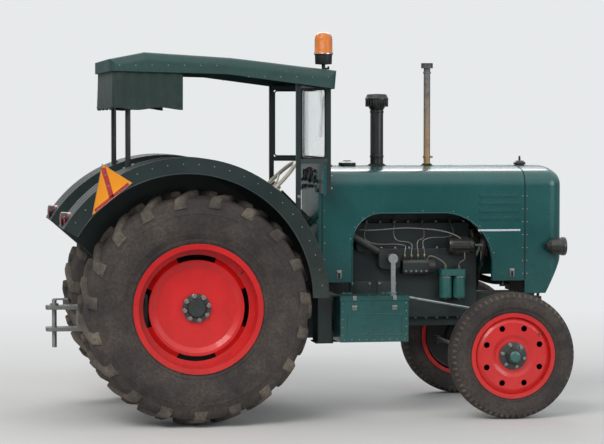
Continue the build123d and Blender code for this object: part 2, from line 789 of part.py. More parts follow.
HOUSING_FACE = ahead(-HOUSING_BACK)
GEARBOX_HIGH = PLATE_TOP - PLATE_T
with BuildPart() as rear_axle:
    block(
        (HOUSING_FACE, ahead(HOUSING_FRONT)),
        (-HOUSING_W / 2, HOUSING_W / 2),
        (HOUSING_LOW, HOUSING_HIGH),
    )
    fillet(rear_axle.edges().filter_by(Axis.X), radius=50)
    for side_name, side in SIDES:
        trumpet_plane = axle_plane(REAR_X, REAR_R, side)
        trumpet_end = REAR_AXLE_END - SEAT_GAP
        turn(
            trumpet_plane,
            [
                (0, 0),
                (TRUMPET_ROOT_R, 0),
                (TRUMPET_ROOT_R, HOUSING_W / 2 + 20),
                (TRUMPET_END_R, trumpet_end - 40),
                (TRUMPET_END_R + 20, trumpet_end - 30),
                (TRUMPET_END_R + 20, trumpet_end),
                (0, trumpet_end),
            ],
        )
        rod(
            (REAR_X, side * (trumpet_end - 90), REAR_R),
            (REAR_X, side * (trumpet_end + 1), REAR_R),
            AXLE_SHAFT_R + RUN_GAP,
            Mode.SUBTRACT,
        )
    rod((HOUSING_FACE, 0, PTO_Z), (HOUSING_FACE - PTO_BOSS, 0, PTO_Z), PTO_BOSS_R)
finish(rear_axle, "rear_axle")

with BuildPart() as pto_shaft:
    pto_root = HOUSING_FACE - PTO_BOSS
    rod((pto_root, 0, PTO_Z), (pto_root - PTO_LENGTH, 0, PTO_Z), PTO_R)
finish(pto_shaft, "pto_shaft")

with BuildPart() as gearbox:
    bell_back = BELL_FRONT - BELL_LENGTH
    block(
        (ahead(HOUSING_FRONT), ahead(bell_back)),
        (-GEARBOX_W / 2, GEARBOX_W / 2),
        (GEARBOX_LOW, GEARBOX_HIGH),
    )
    fillet(gearbox.edges().filter_by(Axis.X), radius=30)
    block(
        (ahead(bell_back), ahead(BELL_FRONT)),
        (-BELL_W / 2, BELL_W / 2),
        (GEARBOX_LOW - 30, GEARBOX_HIGH + 110),
    )
    fillet(gearbox.edges().filter_by(Axis.X).group_by(SortBy.LENGTH)[0], radius=60)
finish(gearbox, "gearbox")

with BuildPart() as engine_block:
    engine_x = (ahead(BELL_FRONT), ahead(ENGINE_FRONT))
    block(engine_x, (-CASE_W / 2, CASE_W / 2), (CASE_LOW, CASE_HIGH))
    block(
        (engine_x[0] + 40, engine_x[1] - 40),
        (-CASE_W / 2 + 35, CASE_W / 2 - 35),
        (CASE_LOW - SUMP_DROP, CASE_LOW),
    )
    block((engine_x[0] + 50, engine_x[1] - 40), (-HEAD_W / 2, HEAD_W / 2), (CASE_HIGH, HEAD_HIGH))
    block(
        (engine_x[0] + 70, engine_x[1] - 60),
        (-ROCKER_W / 2, ROCKER_W / 2),
        (HEAD_HIGH, ROCKER_HIGH),
    )
    pulley_x = (engine_x[1] + 10, engine_x[1] + PULLEY_X)
    for pulley_z in (CRANK_Z, FAN_Z):
        rod((engine_x[1] - 50, 0, pulley_z), (pulley_x[1], 0, pulley_z), FAN_HUB_R)
        rod((pulley_x[0], 0, pulley_z), (pulley_x[1], 0, pulley_z), PULLEY_R)
    rod(
        (ahead(BREATHER_X), 0, BREATHER_Z),
        (ahead(BREATHER_X), -BREATHER_OUT, BREATHER_Z),
        BREATHER_R,
    )
finish(engine_block, "engine_block")

with BuildPart() as fan:
    hub_back = pulley_x[1] + SEAT_GAP
    rod((hub_back, 0, FAN_Z), (hub_back + FAN_HUB, 0, FAN_Z), FAN_HUB_R)
    for index in range(FAN_BLADES):
        blade_angle = radians(index * 360 / FAN_BLADES)
        blade_plane = Plane(
            origin=(hub_back + FAN_HUB / 2, 0, FAN_Z),
            x_dir=(0, cos(blade_angle), sin(blade_angle)),
            z_dir=(1, 0, 0),
        ).rotated((FAN_PITCH, 0, 0))
        with BuildSketch(blade_plane) as blade_face:
            with Locations((FAN_R / 2, 0)):
                Rectangle(FAN_R, FAN_BLADE_W)
        extrude(blade_face.sketch, amount=FAN_BLADE_T)
finish(fan, "fan")

CASE_SIDE = -CASE_W / 2 - SEAT_GAP
with BuildPart() as injection_pump:
    pump_x = (ahead(PUMP_X[0]), ahead(PUMP_X[1]))
    block(pump_x, (CASE_SIDE - PUMP_W, CASE_SIDE), PUMP_Z)
    fillet(injection_pump.edges().filter_by(Axis.X).group_by(Axis.Y)[0], radius=18)
    drive_at = (CASE_SIDE - PUMP_W / 2, sum(PUMP_Z) / 2)
    rod((pump_x[1] - 5, *drive_at), (pump_x[1] + 45, *drive_at), PUMP_W / 2)
    union_step = (pump_x[1] - pump_x[0]) / PUMP_UNIONS
    for index in range(PUMP_UNIONS):
        union_x = pump_x[0] + (index + 0.5) * union_step
        rod((union_x, drive_at[0], PUMP_Z[1] - 5), (union_x, drive_at[0], PUMP_Z[1] + 24), PUMP_UNION_R)
finish(injection_pump, "injection_pump")

with BuildPart() as fuel_filters:
    filter_y = CASE_SIDE - FILTER_W / 2
    block(
        (ahead(FILTER_X[0]) - FILTER_R, ahead(FILTER_X[1]) + FILTER_R),
        (CASE_SIDE - FILTER_W, CASE_SIDE),
        (FILTER_Z[1], FILTER_Z[1] + FILTER_HEAD_H),
    )
    fillet(fuel_filters.edges().filter_by(Axis.Z).group_by(Axis.Y)[0], radius=25)
    for filter_x in FILTER_X:
        spot_x = ahead(filter_x)
        rod((spot_x, filter_y, FILTER_Z[0]), (spot_x, filter_y, FILTER_Z[1] + 5), FILTER_R)
        fillet(fuel_filters.edges().group_by(Axis.Z)[0], radius=12)
        rod(
            (spot_x, filter_y, FILTER_Z[1]),
            (spot_x, filter_y, FILTER_Z[1] + FILTER_HEAD_H + 16),
            PUMP_UNION_R,
        )
finish(fuel_filters, "fuel_filters")

with BuildPart() as front_support:
    block(
        (ahead(ENGINE_FRONT), ahead(SUPPORT_FRONT)),
        (-SUPPORT_W / 2, SUPPORT_W / 2),
        (SUPPORT_LOW, SUPPORT_HIGH),
    )
    for ear in (-1, 1):
        ear_face = FRONT_X + ear * (BEAM_T / 2 + SEAT_GAP)
        block((ear_face, ear_face + ear * 45), (-60, 60), (BEAM_Z - 50, SUPPORT_LOW))
    pin_half = BEAM_T / 2 + 50
    rod((FRONT_X - pin_half, 0, BEAM_Z), (FRONT_X + pin_half, 0, BEAM_Z), PIVOT_R)
finish(front_support, "front_support")

with BuildPart() as steering_box:
    block(
        (DROP_X - STEER_BOX_X[0], DROP_X + STEER_BOX_X[1]),
        (-CASE_W / 2, -DROP_IN_Y + STEER_BOX_IN),
        (DROP_PIVOT_Z - STEER_BOX_Z[0], DROP_PIVOT_Z + STEER_BOX_Z[1]),
    )
    fillet(steering_box.edges().filter_by(Axis.Y), radius=STEER_BOX_EDGE_R)
    rod(
        (DROP_X, -CASE_W / 2, DROP_PIVOT_Z),
        (DROP_X, -DROP_IN_Y + SEAT_GAP, DROP_PIVOT_Z),
        STEER_NECK_R,
    )
    tube_from, tube_to = [
        (DROP_X + along, -STEER_TUBE_Y, DROP_PIVOT_Z + up)
        for along, up in (STEER_TUBE_FROM, STEER_TUBE_TO)
    ]
    rod(tube_from, tube_to, STEER_TUBE_R)
    rod(
        (DROP_X, -shaft_in + BEAD_PLAY, DROP_PIVOT_Z),
        (DROP_X, -DROP_IN_Y, DROP_PIVOT_Z),
        CROSS_SHAFT_R + RUN_GAP,
        Mode.SUBTRACT,
    )
finish(steering_box, "steering_box")

# Platform with its steps, side box and lid

with BuildPart() as platform:
    narrow = GUARD_IN_Y + GUARD_T
    plate_z = (PLATE_TOP - PLATE_T, PLATE_TOP)
    block((ahead(HOUSING_FRONT), ahead(PLATE_WIDE_BACK)), (-narrow, narrow), plate_z)
    block((ahead(PLATE_WIDE_BACK), ahead(PLATE_FRONT)), (-PLATE_WIDE_Y, PLATE_WIDE_Y), plate_z)
    for side_name, side in SIDES:
        wing_y = (side * HOUSING_W / 2, side * narrow)
        block((ahead(PLATE_BACK), ahead(HOUSING_FRONT)), wing_y, plate_z)
        for hanger_y in (STEP_IN_Y, PLATE_WIDE_Y - HANGER_T):
            hanger_span = (side * hanger_y, side * (hanger_y + HANGER_T))
            block((ahead(HANGER_X[0]), ahead(HANGER_X[1])), hanger_span, (STEP_LOW, plate_z[0]))
        tread_span = (side * STEP_IN_Y, side * PLATE_WIDE_Y)
        block((ahead(STEP_X[0]), ahead(STEP_X[1])), tread_span, (STEP_LOW, STEP_LOW + STEP_T))
finish(platform, "platform")

BOX_FRONT = BOX_BACK + BOX_LENGTH
with BuildPart() as side_box:
    box_x = (ahead(BOX_BACK), ahead(BOX_FRONT))
    block(box_x, (-BOX_OUT_Y, -BOX_IN_Y), (BOX_LOW, BOX_HIGH))
    block(
        (box_x[0] + BOX_T, box_x[1] - BOX_T),
        (-BOX_OUT_Y + BOX_T, -BOX_IN_Y - BOX_T),
        (BOX_LOW + BOX_T, BOX_HIGH + 1),
        Mode.SUBTRACT,
    )
    for bracket in BRACKET_X:
        block(
            (box_x[0] + bracket, box_x[0] + bracket + BRACKET_T),
            (-BELL_W / 2, -BOX_IN_Y),
            (BOX_LOW + BRACKET_Z[0], BOX_LOW + BRACKET_Z[1]),
        )
    hinge_y = -BOX_IN_Y + HINGE_R + HINGE_OFF
    hinge_z = BOX_HIGH + LID_T
    for hinge in HINGE_X:
        hinge_from, hinge_to = box_x[0] + hinge, box_x[0] + hinge + HINGE_LENGTH
        eye_x = [(hinge_from + hinge_to + end * HINGE_EYE) / 2 for end in (-1, 1)]
        cut_x = (eye_x[0] - HINGE_PLAY, eye_x[1] + HINGE_PLAY)
        cut_y = hinge_y + HINGE_R + HINGE_OFF
        rod((hinge_from, hinge_y, hinge_z), (hinge_to, hinge_y, hinge_z), HINGE_R)
        leaf_top = hinge_z - HINGE_R + HINGE_OFF
        block((hinge_from, hinge_to), (-BOX_IN_Y, hinge_y + HINGE_R), (BOX_HIGH - HINGE_LEAF, leaf_top))
        rod(
            (cut_x[0], hinge_y, hinge_z),
            (cut_x[1], hinge_y, hinge_z),
            HINGE_R + HINGE_OFF,
            Mode.SUBTRACT,
        )
        block(cut_x, (-BOX_IN_Y, cut_y), (hinge_z - 2 * HINGE_R - BEAD_PLAY, hinge_z), Mode.SUBTRACT)
        rod((hinge_from, hinge_y, hinge_z), (hinge_to, hinge_y, hinge_z), HINGE_PIN_R)
finish(side_box, "side_box")

with BuildPart() as side_box_lid:
    lid_z = (BOX_HIGH + SEAT_GAP, BOX_HIGH + SEAT_GAP + LID_T)
    lid_x = (box_x[0] - LID_BACK_EDGE, box_x[1] + LID_EDGE)
    block(lid_x, (-BOX_OUT_Y - LID_EDGE, -BOX_IN_Y), lid_z)
    edge_y = -BOX_OUT_Y - SEAT_GAP
    block(lid_x, (edge_y - LID_RIM[0], edge_y), (BOX_HIGH - LID_RIM[1], lid_z[0]))
    for hinge in HINGE_X:
        eye_mid = box_x[0] + hinge + HINGE_LENGTH / 2
        eye_x = (eye_mid - HINGE_EYE / 2, eye_mid + HINGE_EYE / 2)
        block(eye_x, (-BOX_IN_Y - 2 * HINGE_R, hinge_y), (hinge_z, hinge_z + LID_T - HINGE_PLAY))
        rod((eye_x[0], hinge_y, hinge_z), (eye_x[1], hinge_y, hinge_z), HINGE_R)
        rod(
            (eye_x[0] - HINGE_PLAY, hinge_y, hinge_z),
            (eye_x[1] + HINGE_PLAY, hinge_y, hinge_z),
            HINGE_PIN_R + RUN_GAP,
            Mode.SUBTRACT,
        )
finish(side_box_lid, "side_box_lid")

# Mudguards: a curved top, an inner wall down to the platform and an outer lip

GUARD_X = ahead(-GUARD_BACK)


def guard_point(angle, radius=GUARD_R):
    """Point (x, z) of the mudguard's circle."""
    return (GUARD_X + radius * cos(radians(angle)), GUARD_Z + radius * sin(radians(angle)))


def guard_ring(low_r, y):
    """Part of the mudguard's ring between this radius and its own, between two Y values."""
    sweep_angle = GUARD_TO - GUARD_FROM
    with BuildSketch(side_plane(max(y))) as section:
        with BuildLine():
            CenterArc((GUARD_X, GUARD_Z), GUARD_R, GUARD_FROM, sweep_angle)
            CenterArc((GUARD_X, GUARD_Z), low_r, GUARD_FROM, sweep_angle)
            Line(guard_point(GUARD_FROM), guard_point(GUARD_FROM, low_r))
            Line(guard_point(GUARD_TO), guard_point(GUARD_TO, low_r))
        make_face()
    extrude(section.sketch, amount=abs(y[1] - y[0]))


def clear_of_guard(y):
    """Cut away what lies inside the mudguard's outer surface between two Y values."""
    rod((GUARD_X, min(y), GUARD_Z), (GUARD_X, max(y), GUARD_Z), GUARD_R + SEAT_GAP, Mode.SUBTRACT)


TRUMPET_AT_WALL = TRUMPET_ROOT_R - (TRUMPET_ROOT_R - TRUMPET_END_R) * (
    (GUARD_IN_Y - HOUSING_W / 2 - 20) / (trumpet_end - 40 - HOUSING_W / 2 - 20)
)
for side_name, side in SIDES:
    with BuildPart() as mudguard:
        guard_ring(GUARD_R - GUARD_T, (side * GUARD_IN_Y, side * GUARD_OUT_Y))
        guard_ring(GUARD_R - GUARD_LIP, (side * (GUARD_OUT_Y - GUARD_T), side * GUARD_OUT_Y))
        wall_y = (side * GUARD_IN_Y, side * (GUARD_IN_Y + GUARD_T))
        with BuildSketch(side_plane(max(wall_y))):
            with BuildLine():
                CenterArc((GUARD_X, GUARD_Z), GUARD_R, GUARD_FROM, GUARD_TO - GUARD_FROM)
                Polyline(
                    guard_point(GUARD_TO),
                    (ahead(GUARD_FOOT_X), PLATE_TOP),
                    guard_point(GUARD_FROM),
                )
            make_face()
        extrude(amount=GUARD_T)
        rod(
            (REAR_X, side * (GUARD_IN_Y - 5), REAR_R),
            (REAR_X, side * (GUARD_IN_Y + 20), REAR_R),
            TRUMPET_AT_WALL + SEAT_GAP,
            Mode.SUBTRACT,
        )
        block(
            (GUARD_X - GUARD_R - 1, GUARD_X + GUARD_R + 1),
            (side * (GUARD_IN_Y - 5), side * (GUARD_OUT_Y + 5)),
            (0, PLATE_TOP),
            Mode.SUBTRACT,
        )
    finish(mudguard, f"mudguard_{side_name}")

# Dash panel, hood and nose


def hood_face(x, inset, low):
    """Closed hood section across the tractor at this X, with its walls moved in."""
    half = HOOD_HALF - inset
    top = HOOD_TOP - inset
    with BuildSketch(Plane.YZ.offset(x)) as section:
        with BuildLine():
            Line((-half, low), (half, low))
            Line((half, low), (half, top - HOOD_DROP))
            ThreePointArc((half, top - HOOD_DROP), (0, top), (-half, top - HOOD_DROP))
            Line((-half, top - HOOD_DROP), (-half, low))
        make_face()
        fillet(section.vertices().group_by(Axis.Y)[-1], HOOD_SHOULDER_R - inset)
    return section.sketch


def arch_face(y, inset):
    """The opening in the hood's side at this Y, made smaller by the inset."""
    corners = (
        (ahead(ARCH_BACK) + inset, HOOD_LOW - 50),
        (ahead(ARCH_BACK) + inset, ARCH_TOP - inset),
        (ahead(ARCH_FRONT) - inset, ARCH_TOP - inset),
        (ahead(ARCH_FRONT) - inset, HOOD_LOW - 50),
    )
    with BuildSketch(side_plane(y)) as section:
        with BuildLine():
            Polyline(*corners, close=True)
        make_face()
        high = section.vertices().group_by(Axis.Y)[-1].sort_by(Axis.X)
        fillet(high[0], ARCH_BACK_R - inset)
        high = section.vertices().group_by(Axis.Y)[-1].sort_by(Axis.X)
        fillet(high[-1], ARCH_FRONT_R - inset)
    return section.sketch


with BuildPart() as dash:
    with BuildSketch(Plane.YZ.offset(ahead(DASH_X))):
        with BuildLine():
            Polyline(
                (-HOOD_HALF, PLATE_TOP),
                (HOOD_HALF, PLATE_TOP),
                (HOOD_HALF, DASH_WING_LOW),
                (DASH_WING_Y, DASH_WING_LOW),
                (DASH_WING_Y, DASH_TOP),
                (-DASH_WING_Y, DASH_TOP),
                (-DASH_WING_Y, DASH_WING_LOW),
                (-HOOD_HALF, DASH_WING_LOW),
                close=True,
            )
        make_face()
    extrude(amount=DASH_T)
    tilt = radians(WHEEL_TILT)
    column_dir = Vector(-cos(tilt), 0, sin(tilt))
    wheel_hub = Vector(ahead(WHEEL_X), 0, WHEEL_Z)
    column_foot = wheel_hub - column_dir * ((DASH_X + DASH_T - WHEEL_X) / cos(tilt) + 40)
    rod(column_foot, wheel_hub, COLUMN_R + SEAT_GAP, Mode.SUBTRACT)
finish(dash, "dash")

HOOD_BACK = ahead(DASH_X + DASH_T)
HOOD_END = ahead(HOOD_FRONT)
with BuildPart() as hood:
    hood_length = HOOD_END - HOOD_BACK
    extrude(hood_face(HOOD_BACK, 0, HOOD_LOW), amount=hood_length)
    extrude(hood_face(HOOD_BACK, HOOD_T, HOOD_LOW - 5), amount=hood_length, mode=Mode.SUBTRACT)
    for side_name, side in SIDES:
        skin = (side * (HOOD_HALF - ARCH_FLANGE), side * HOOD_HALF)
        extrude(arch_face(max(skin), -HOOD_T), amount=ARCH_FLANGE)
    for side_name, side in SIDES:
        skin = (side * (HOOD_HALF - ARCH_FLANGE - 5), side * (HOOD_HALF + 5))
        extrude(arch_face(max(skin), 0), amount=ARCH_FLANGE + 10, mode=Mode.SUBTRACT)
    block(
        (ahead(ARCH_BACK) - 10, ahead(ARCH_FRONT) + 10),
        (-HOOD_HALF - 5, HOOD_HALF + 5),
        (HOOD_LOW - 100, HOOD_LOW),
        Mode.SUBTRACT,
    )
    for side_name, side in SIDES:
        for rib_z in RIB_ZS:
            block(
                (ahead(RIB_X[0]), ahead(RIB_X[1])),
                (side * (HOOD_HALF - HOOD_T / 2), side * (HOOD_HALF + RIB_PROUD)),
                (rib_z - RIB_H / 2, rib_z + RIB_H / 2),
            )
    for pipe_x, pipe_r in ((STACK_X, STACK_R), (EXHAUST_X, EXHAUST_R)):
        rod(
            (ahead(pipe_x), 0, HOOD_TOP - 40),
            (ahead(pipe_x), 0, HOOD_TOP + 10),
            pipe_r + HOLE_PLAY,
            Mode.SUBTRACT,
        )
finish(hood, "hood")

NOSE_END = ahead(NOSE_FRONT)


def nose_form(inset, open_end):
    """Closed nose, its walls moved in, run past the back and the bottom by open_end."""
    back = HOOD_END - open_end
    low = NOSE_LOW - open_end
    front = NOSE_END - inset
    with BuildPart() as form:
        extrude(hood_face(back, inset, low), amount=front - back)
        front_face = form.faces().sort_by(Axis.X)[-1]
        low_edge = front_face.edges().sort_by(Axis.Z)[0]
        round_edges = [edge for edge in front_face.edges() if edge.center().Z > low_edge.center().Z + 1]
        fillet(round_edges, NOSE_EDGE_R - inset)
        slope = (NOSE_FRONT - NOSE_RAKE_X) / (NOSE_RAKE_Z - NOSE_LOW)
        rake_low = low - 50
        rake_x = ahead(NOSE_FRONT) - (NOSE_RAKE_Z - rake_low) * slope - inset
        side_panel(
            [
                (front + 50, NOSE_RAKE_Z + 50 / slope),
                (rake_x, rake_low),
                (front + 50, rake_low),
            ],
            (-HOOD_HALF - 10, HOOD_HALF + 10),
            Mode.SUBTRACT,
        )
    return form.part


nose_outside = nose_form(0, 0)
nose_inside = nose_form(HOOD_T, 10)
with BuildPart() as nose:
    add(nose_outside)
    add(nose_inside, mode=Mode.SUBTRACT)
    block(
        (NOSE_END - 60, NOSE_END + 5),
        (-GRILLE_HALF, GRILLE_HALF),
        (GRILLE_LOW, GRILLE_HIGH),
        Mode.SUBTRACT,
    )
    cap_spot = ahead(RADIATOR_CAP_X)
    rod(
        (cap_spot, 0, HOOD_TOP - 40),
        (cap_spot, 0, HOOD_TOP + 10),
        RADIATOR_NECK_R + HOLE_PLAY,
        Mode.SUBTRACT,
    )
finish(nose, "nose")

with BuildPart() as grille:
    grille_x = (NOSE_END - GRILLE_T, NOSE_END)
    block(grille_x, (-GRILLE_HALF, GRILLE_HALF), (GRILLE_LOW, GRILLE_HIGH))
    block(
        (NOSE_END - GRILLE_T - 1, NOSE_END + 1),
        (-GRILLE_HALF + GRILLE_FRAME, GRILLE_HALF - GRILLE_FRAME),
        (GRILLE_LOW + GRILLE_FRAME, GRILLE_HIGH - GRILLE_FRAME),
        Mode.SUBTRACT,
    )
    bar_count = 9
    bar_pitch = 2 * (GRILLE_HALF - GRILLE_FRAME) / (bar_count + 1)
    for index in range(bar_count):
        bar_y = (index - (bar_count - 1) / 2) * bar_pitch
        block(grille_x, (bar_y - 5, bar_y + 5), (GRILLE_LOW + 1, GRILLE_HIGH - 1))
finish(grille, "grille")

with BuildPart() as radiator:
    core_x = (ahead(RADIATOR_BACK), ahead(RADIATOR_BACK + RADIATOR_T))
    block(core_x, (-RADIATOR_HALF, RADIATOR_HALF), (SUPPORT_HIGH, RADIATOR_TOP - 60))
    block(
        (core_x[0] - 6, core_x[1] + 6),
        (-RADIATOR_HALF, RADIATOR_HALF),
        (RADIATOR_TOP - 60, RADIATOR_TOP),
    )
    rod((cap_spot, 0, RADIATOR_TOP), (cap_spot, 0, HOOD_TOP + 4), RADIATOR_NECK_R)
finish(radiator, "radiator")

with BuildPart() as radiator_cap:
    cap_plane = Plane(origin=(cap_spot, 0, HOOD_TOP + 4), x_dir=(1, 0, 0), z_dir=(0, -1, 0))
    turn(cap_plane, [(0, 0), (40, 0), (40, 14), (26, 26), (8, 30), (6, 58), (0, 58)])
finish(radiator_cap, "radiator_cap")

with BuildPart() as filler_cap:
    filler_spot = ahead(FILLER_X)
    cap_plane = Plane(origin=(filler_spot, 0, HOOD_TOP), x_dir=(1, 0, 0), z_dir=(0, -1, 0))
    turn(
        cap_plane,
        [(0, 0), (FILLER_CAP_R - 8, 0), (FILLER_CAP_R, 6), (FILLER_CAP_R, 20), (30, 30), (0, 30)],
    )
finish(filler_cap, "filler_cap")

with BuildPart() as intake_stack:
    stack_plane = Plane(origin=(ahead(STACK_X), 0, 0), x_dir=(1, 0, 0), z_dir=(0, -1, 0))
    turn(
        stack_plane,
        [
            (0, ROCKER_HIGH),
            (CLEANER_R, ROCKER_HIGH),
            (CLEANER_R, CLEANER_TOP),
            (STACK_R, CLEANER_TOP + 30),
            (STACK_R, STACK_TOP - 110),
            (STACK_CAP_R - 12, STACK_TOP - 75),
            (STACK_CAP_R, STACK_TOP - 30),
            (STACK_CAP_R - 12, STACK_TOP - 5),
            (0, STACK_TOP),
        ],
    )
finish(intake_stack, "intake_stack")

with BuildPart() as exhaust_manifold:
    log_x = (ahead(EXHAUST_X - 380), ahead(EXHAUST_X + 180))
    log_y = HEAD_W / 2 + MANIFOLD_R + 20
    rod((log_x[0], log_y, MANIFOLD_Z), (log_x[1], log_y, MANIFOLD_Z), MANIFOLD_R)
    for port in range(4):
        port_x = log_x[0] + 60 + port * 145
        rod((port_x, HEAD_W / 2, MANIFOLD_Z), (port_x, log_y, MANIFOLD_Z), 24)
    exhaust_spot = ahead(EXHAUST_X)
    rod((exhaust_spot, log_y, MANIFOLD_Z), (exhaust_spot, log_y, MANIFOLD_Z + 70), EXHAUST_R + 4)
    rod((exhaust_spot, log_y, MANIFOLD_Z + 58), (exhaust_spot, log_y, MANIFOLD_Z + 70), 42)
finish(exhaust_manifold, "exhaust_manifold")

with BuildPart() as exhaust_pipe:
    pipe_low = MANIFOLD_Z + 70
    with BuildLine() as pipe_line:
        FilletPolyline(
            (exhaust_spot, log_y, pipe_low),
            (exhaust_spot, log_y, pipe_low + 90),
            (exhaust_spot, 0, pipe_low + 230),
            (exhaust_spot, 0, EXHAUST_TOP),
            radius=60,
        )
    with BuildSketch(Plane(origin=(exhaust_spot, log_y, pipe_low))):
        Circle(EXHAUST_R)
    sweep(path=pipe_line.line)
    rod((exhaust_spot, log_y, pipe_low), (exhaust_spot, log_y, pipe_low + 12), 42)
    rod((exhaust_spot, 0, EXHAUST_TOP - 34), (exhaust_spot, 0, EXHAUST_TOP), 39)
finish(exhaust_pipe, "exhaust_pipe")

with BuildPart() as headlamps:
    for side_name, side in SIDES:
        lamp_plane = Plane(
            origin=(NOSE_END - 5, side * LAMP_Y, LAMP_Z), x_dir=(0, 0, 1), z_dir=(0, 1, 0)
        )
        with BuildSketch(lamp_plane) as section:
            with BuildLine():
                Polyline(
                    (0, 0),
                    (LAMP_R, 0),
                    (LAMP_R, -40),
                    (LAMP_R - 12, -95),
                    (20, -122),
                    (0, -125),
                    close=True,
                )
            make_face()
        revolve(section.sketch, axis=Axis(lamp_plane.origin, (1, 0, 0)))
        stem_y = (side * (HOOD_HALF + SEAT_GAP), side * (LAMP_Y - LAMP_R + 20))
        block((NOSE_END - 130, NOSE_END - 90), stem_y, (LAMP_Z - 15, LAMP_Z + 15))
finish(headlamps, "headlamps")

# Windscreen: pillars, rails and three panes


def roof_line(inset):
    """Top line of the roof in side view, as (x, z), its walls moved in."""
    return [
        (ahead(-ROOF_BACK) + inset, ROOF_BACK_Z - inset),
        (ahead(RIDGE_BACK), RIDGE_BACK_Z - inset),
        (ahead(RIDGE_FRONT), RIDGE_FRONT_Z - inset),
        (ahead(ROOF_FRONT) - inset, ROOF_FRONT_Z - inset),
    ]


def roof_height(x, inset):
    """Height of the roof's top line at this X."""
    line = roof_line(inset)
    for start, end in zip(line, line[1:]):
        if x <= end[0]:
            break
    return start[1] + (x - start[0]) * (end[1] - start[1]) / (end[0] - start[0])


def roof_outline(inset, low_extra):
    """Roof in side view, as (x, z), its walls moved in and its open side run down."""
    return [
        (ahead(-ROOF_BACK) + inset, EAVES_BACK_Z - low_extra),
        *roof_line(inset),
        (ahead(ROOF_FRONT - ROOF_RAKE) - inset, EAVES_FRONT_Z - low_extra),
        (ahead(EAVES_MID), EAVES_MID_Z - low_extra),
    ]


SCREEN_X = ahead(DASH_X + DASH_T)
RAIL_Z = DASH_TOP + SCREEN_RAIL / 2
TOP_RAIL_Z = SCREEN_TOP - SCREEN_RAIL / 2
front_mid = (SCREEN_X + PILLAR_W / 2, SCREEN_HALF - PILLAR_W / 2)
back_mid = (ahead(SCREEN_BACK_X), SCREEN_BACK_HALF)
with BuildPart() as windscreen_frame:
    for side_name, side in SIDES:
        pillar_y = (side * (front_mid[1] - PILLAR_W / 2), side * (front_mid[1] + PILLAR_W / 2))
        pillar_top = roof_height(SCREEN_X + PILLAR_W, ROOF_T) - SEAT_GAP
        block((SCREEN_X, SCREEN_X + PILLAR_W), pillar_y, (DASH_WING_LOW, pillar_top))
        back_x = (back_mid[0] - PILLAR_W / 2, back_mid[0] + PILLAR_W / 2)
        back_y = (side * (back_mid[1] - PILLAR_W / 2), side * (back_mid[1] + PILLAR_W / 2))
        back_top = roof_height(back_x[1], ROOF_T) - BACK_PILLAR_DROP
        block(back_x, back_y, (BACK_PILLAR_LOW, back_top))
        for rail_z in (RAIL_Z, TOP_RAIL_Z):
            bar(
                (front_mid[0], side * front_mid[1], rail_z),
                (back_mid[0], side * back_mid[1], rail_z),
                SCREEN_RAIL - 6,
                SCREEN_RAIL,
            )
    block(
        (ahead(DASH_X), SCREEN_X + SCREEN_RAIL),
        (-front_mid[1], front_mid[1]),
        (DASH_TOP, DASH_TOP + SCREEN_RAIL),
    )
    block(
        (SCREEN_X, SCREEN_X + SCREEN_RAIL),
        (-front_mid[1], front_mid[1]),
        (SCREEN_TOP - SCREEN_RAIL, SCREEN_TOP),
    )
    clear_of_guard((-SCREEN_BACK_HALF - PILLAR_W, -GUARD_IN_Y))
    clear_of_guard((GUARD_IN_Y, SCREEN_BACK_HALF + PILLAR_W))
finish(windscreen_frame, "windscreen_frame")

PANE_Z = (DASH_TOP + SCREEN_RAIL, SCREEN_TOP - SCREEN_RAIL)
with BuildPart() as windscreen_glass:
    pane_x = SCREEN_X + SCREEN_RAIL / 2
    pane_half = front_mid[1] - PILLAR_W / 2
    block((pane_x, pane_x + GLASS_T), (-pane_half, pane_half), PANE_Z)
    for side_name, side in SIDES:
        front_end = Vector(front_mid[0], side * front_mid[1], sum(PANE_Z) / 2)
        back_end = Vector(back_mid[0], side * back_mid[1], sum(PANE_Z) / 2)
        run = (back_end - front_end).normalized()
        start = front_end + run * (PILLAR_W / 2 + 2)
        end = back_end - run * (PILLAR_W / 2 + 2)
        bar(start, end, GLASS_T, PANE_Z[1] - PANE_Z[0])
finish(windscreen_glass, "windscreen_glass")

# Roof, rear curtain, posts and beacon


def roof_form(inset, low_extra):
    """Roof block with rounded long edges and corners, its walls moved in."""
    half = ROOF_HALF - inset
    with BuildPart() as form:
        side_panel(roof_outline(inset, low_extra), (-half, half))
        low_faces = form.faces().filter_by(lambda face: face.normal_at().Z < -0.5)
        round_edges = form.edges() - low_faces.edges()
        long_edges = round_edges.filter_by(lambda edge: abs(edge.center().Y) > half - 1)
        fillet(long_edges, ROOF_EDGE_R - inset)
    return form.part


roof_outside = roof_form(0, 0)
roof_inside = roof_form(ROOF_T, 40)
with BuildPart() as roof:
    add(roof_outside)
    add(roof_inside, mode=Mode.SUBTRACT)
finish(roof, "roof")

with BuildPart() as rear_curtain:
    cloth_half = ROOF_HALF - ROOF_T - SEAT_GAP
    cloth_back = ahead(-ROOF_BACK) + ROOF_T + SEAT_GAP
    for inset, mode in ((0, Mode.ADD), (CURTAIN_T, Mode.SUBTRACT)):
        half = cloth_half - inset
        corner = ROOF_EDGE_R - ROOF_T - SEAT_GAP - inset
        with BuildSketch(Plane.XY.offset(CURTAIN_LOW)) as section:
            with BuildLine():
                Polyline(
                    (ahead(CURTAIN_FRONT), -half),
                    (cloth_back + inset, -half),
                    (cloth_back + inset, half),
                    (ahead(CURTAIN_FRONT), half),
                    close=True,
                )
            make_face()
            fillet(section.vertices().group_by(Axis.X)[0], corner)
        extrude(amount=CURTAIN_TOP - CURTAIN_LOW, mode=mode)
finish(rear_curtain, "rear_curtain")

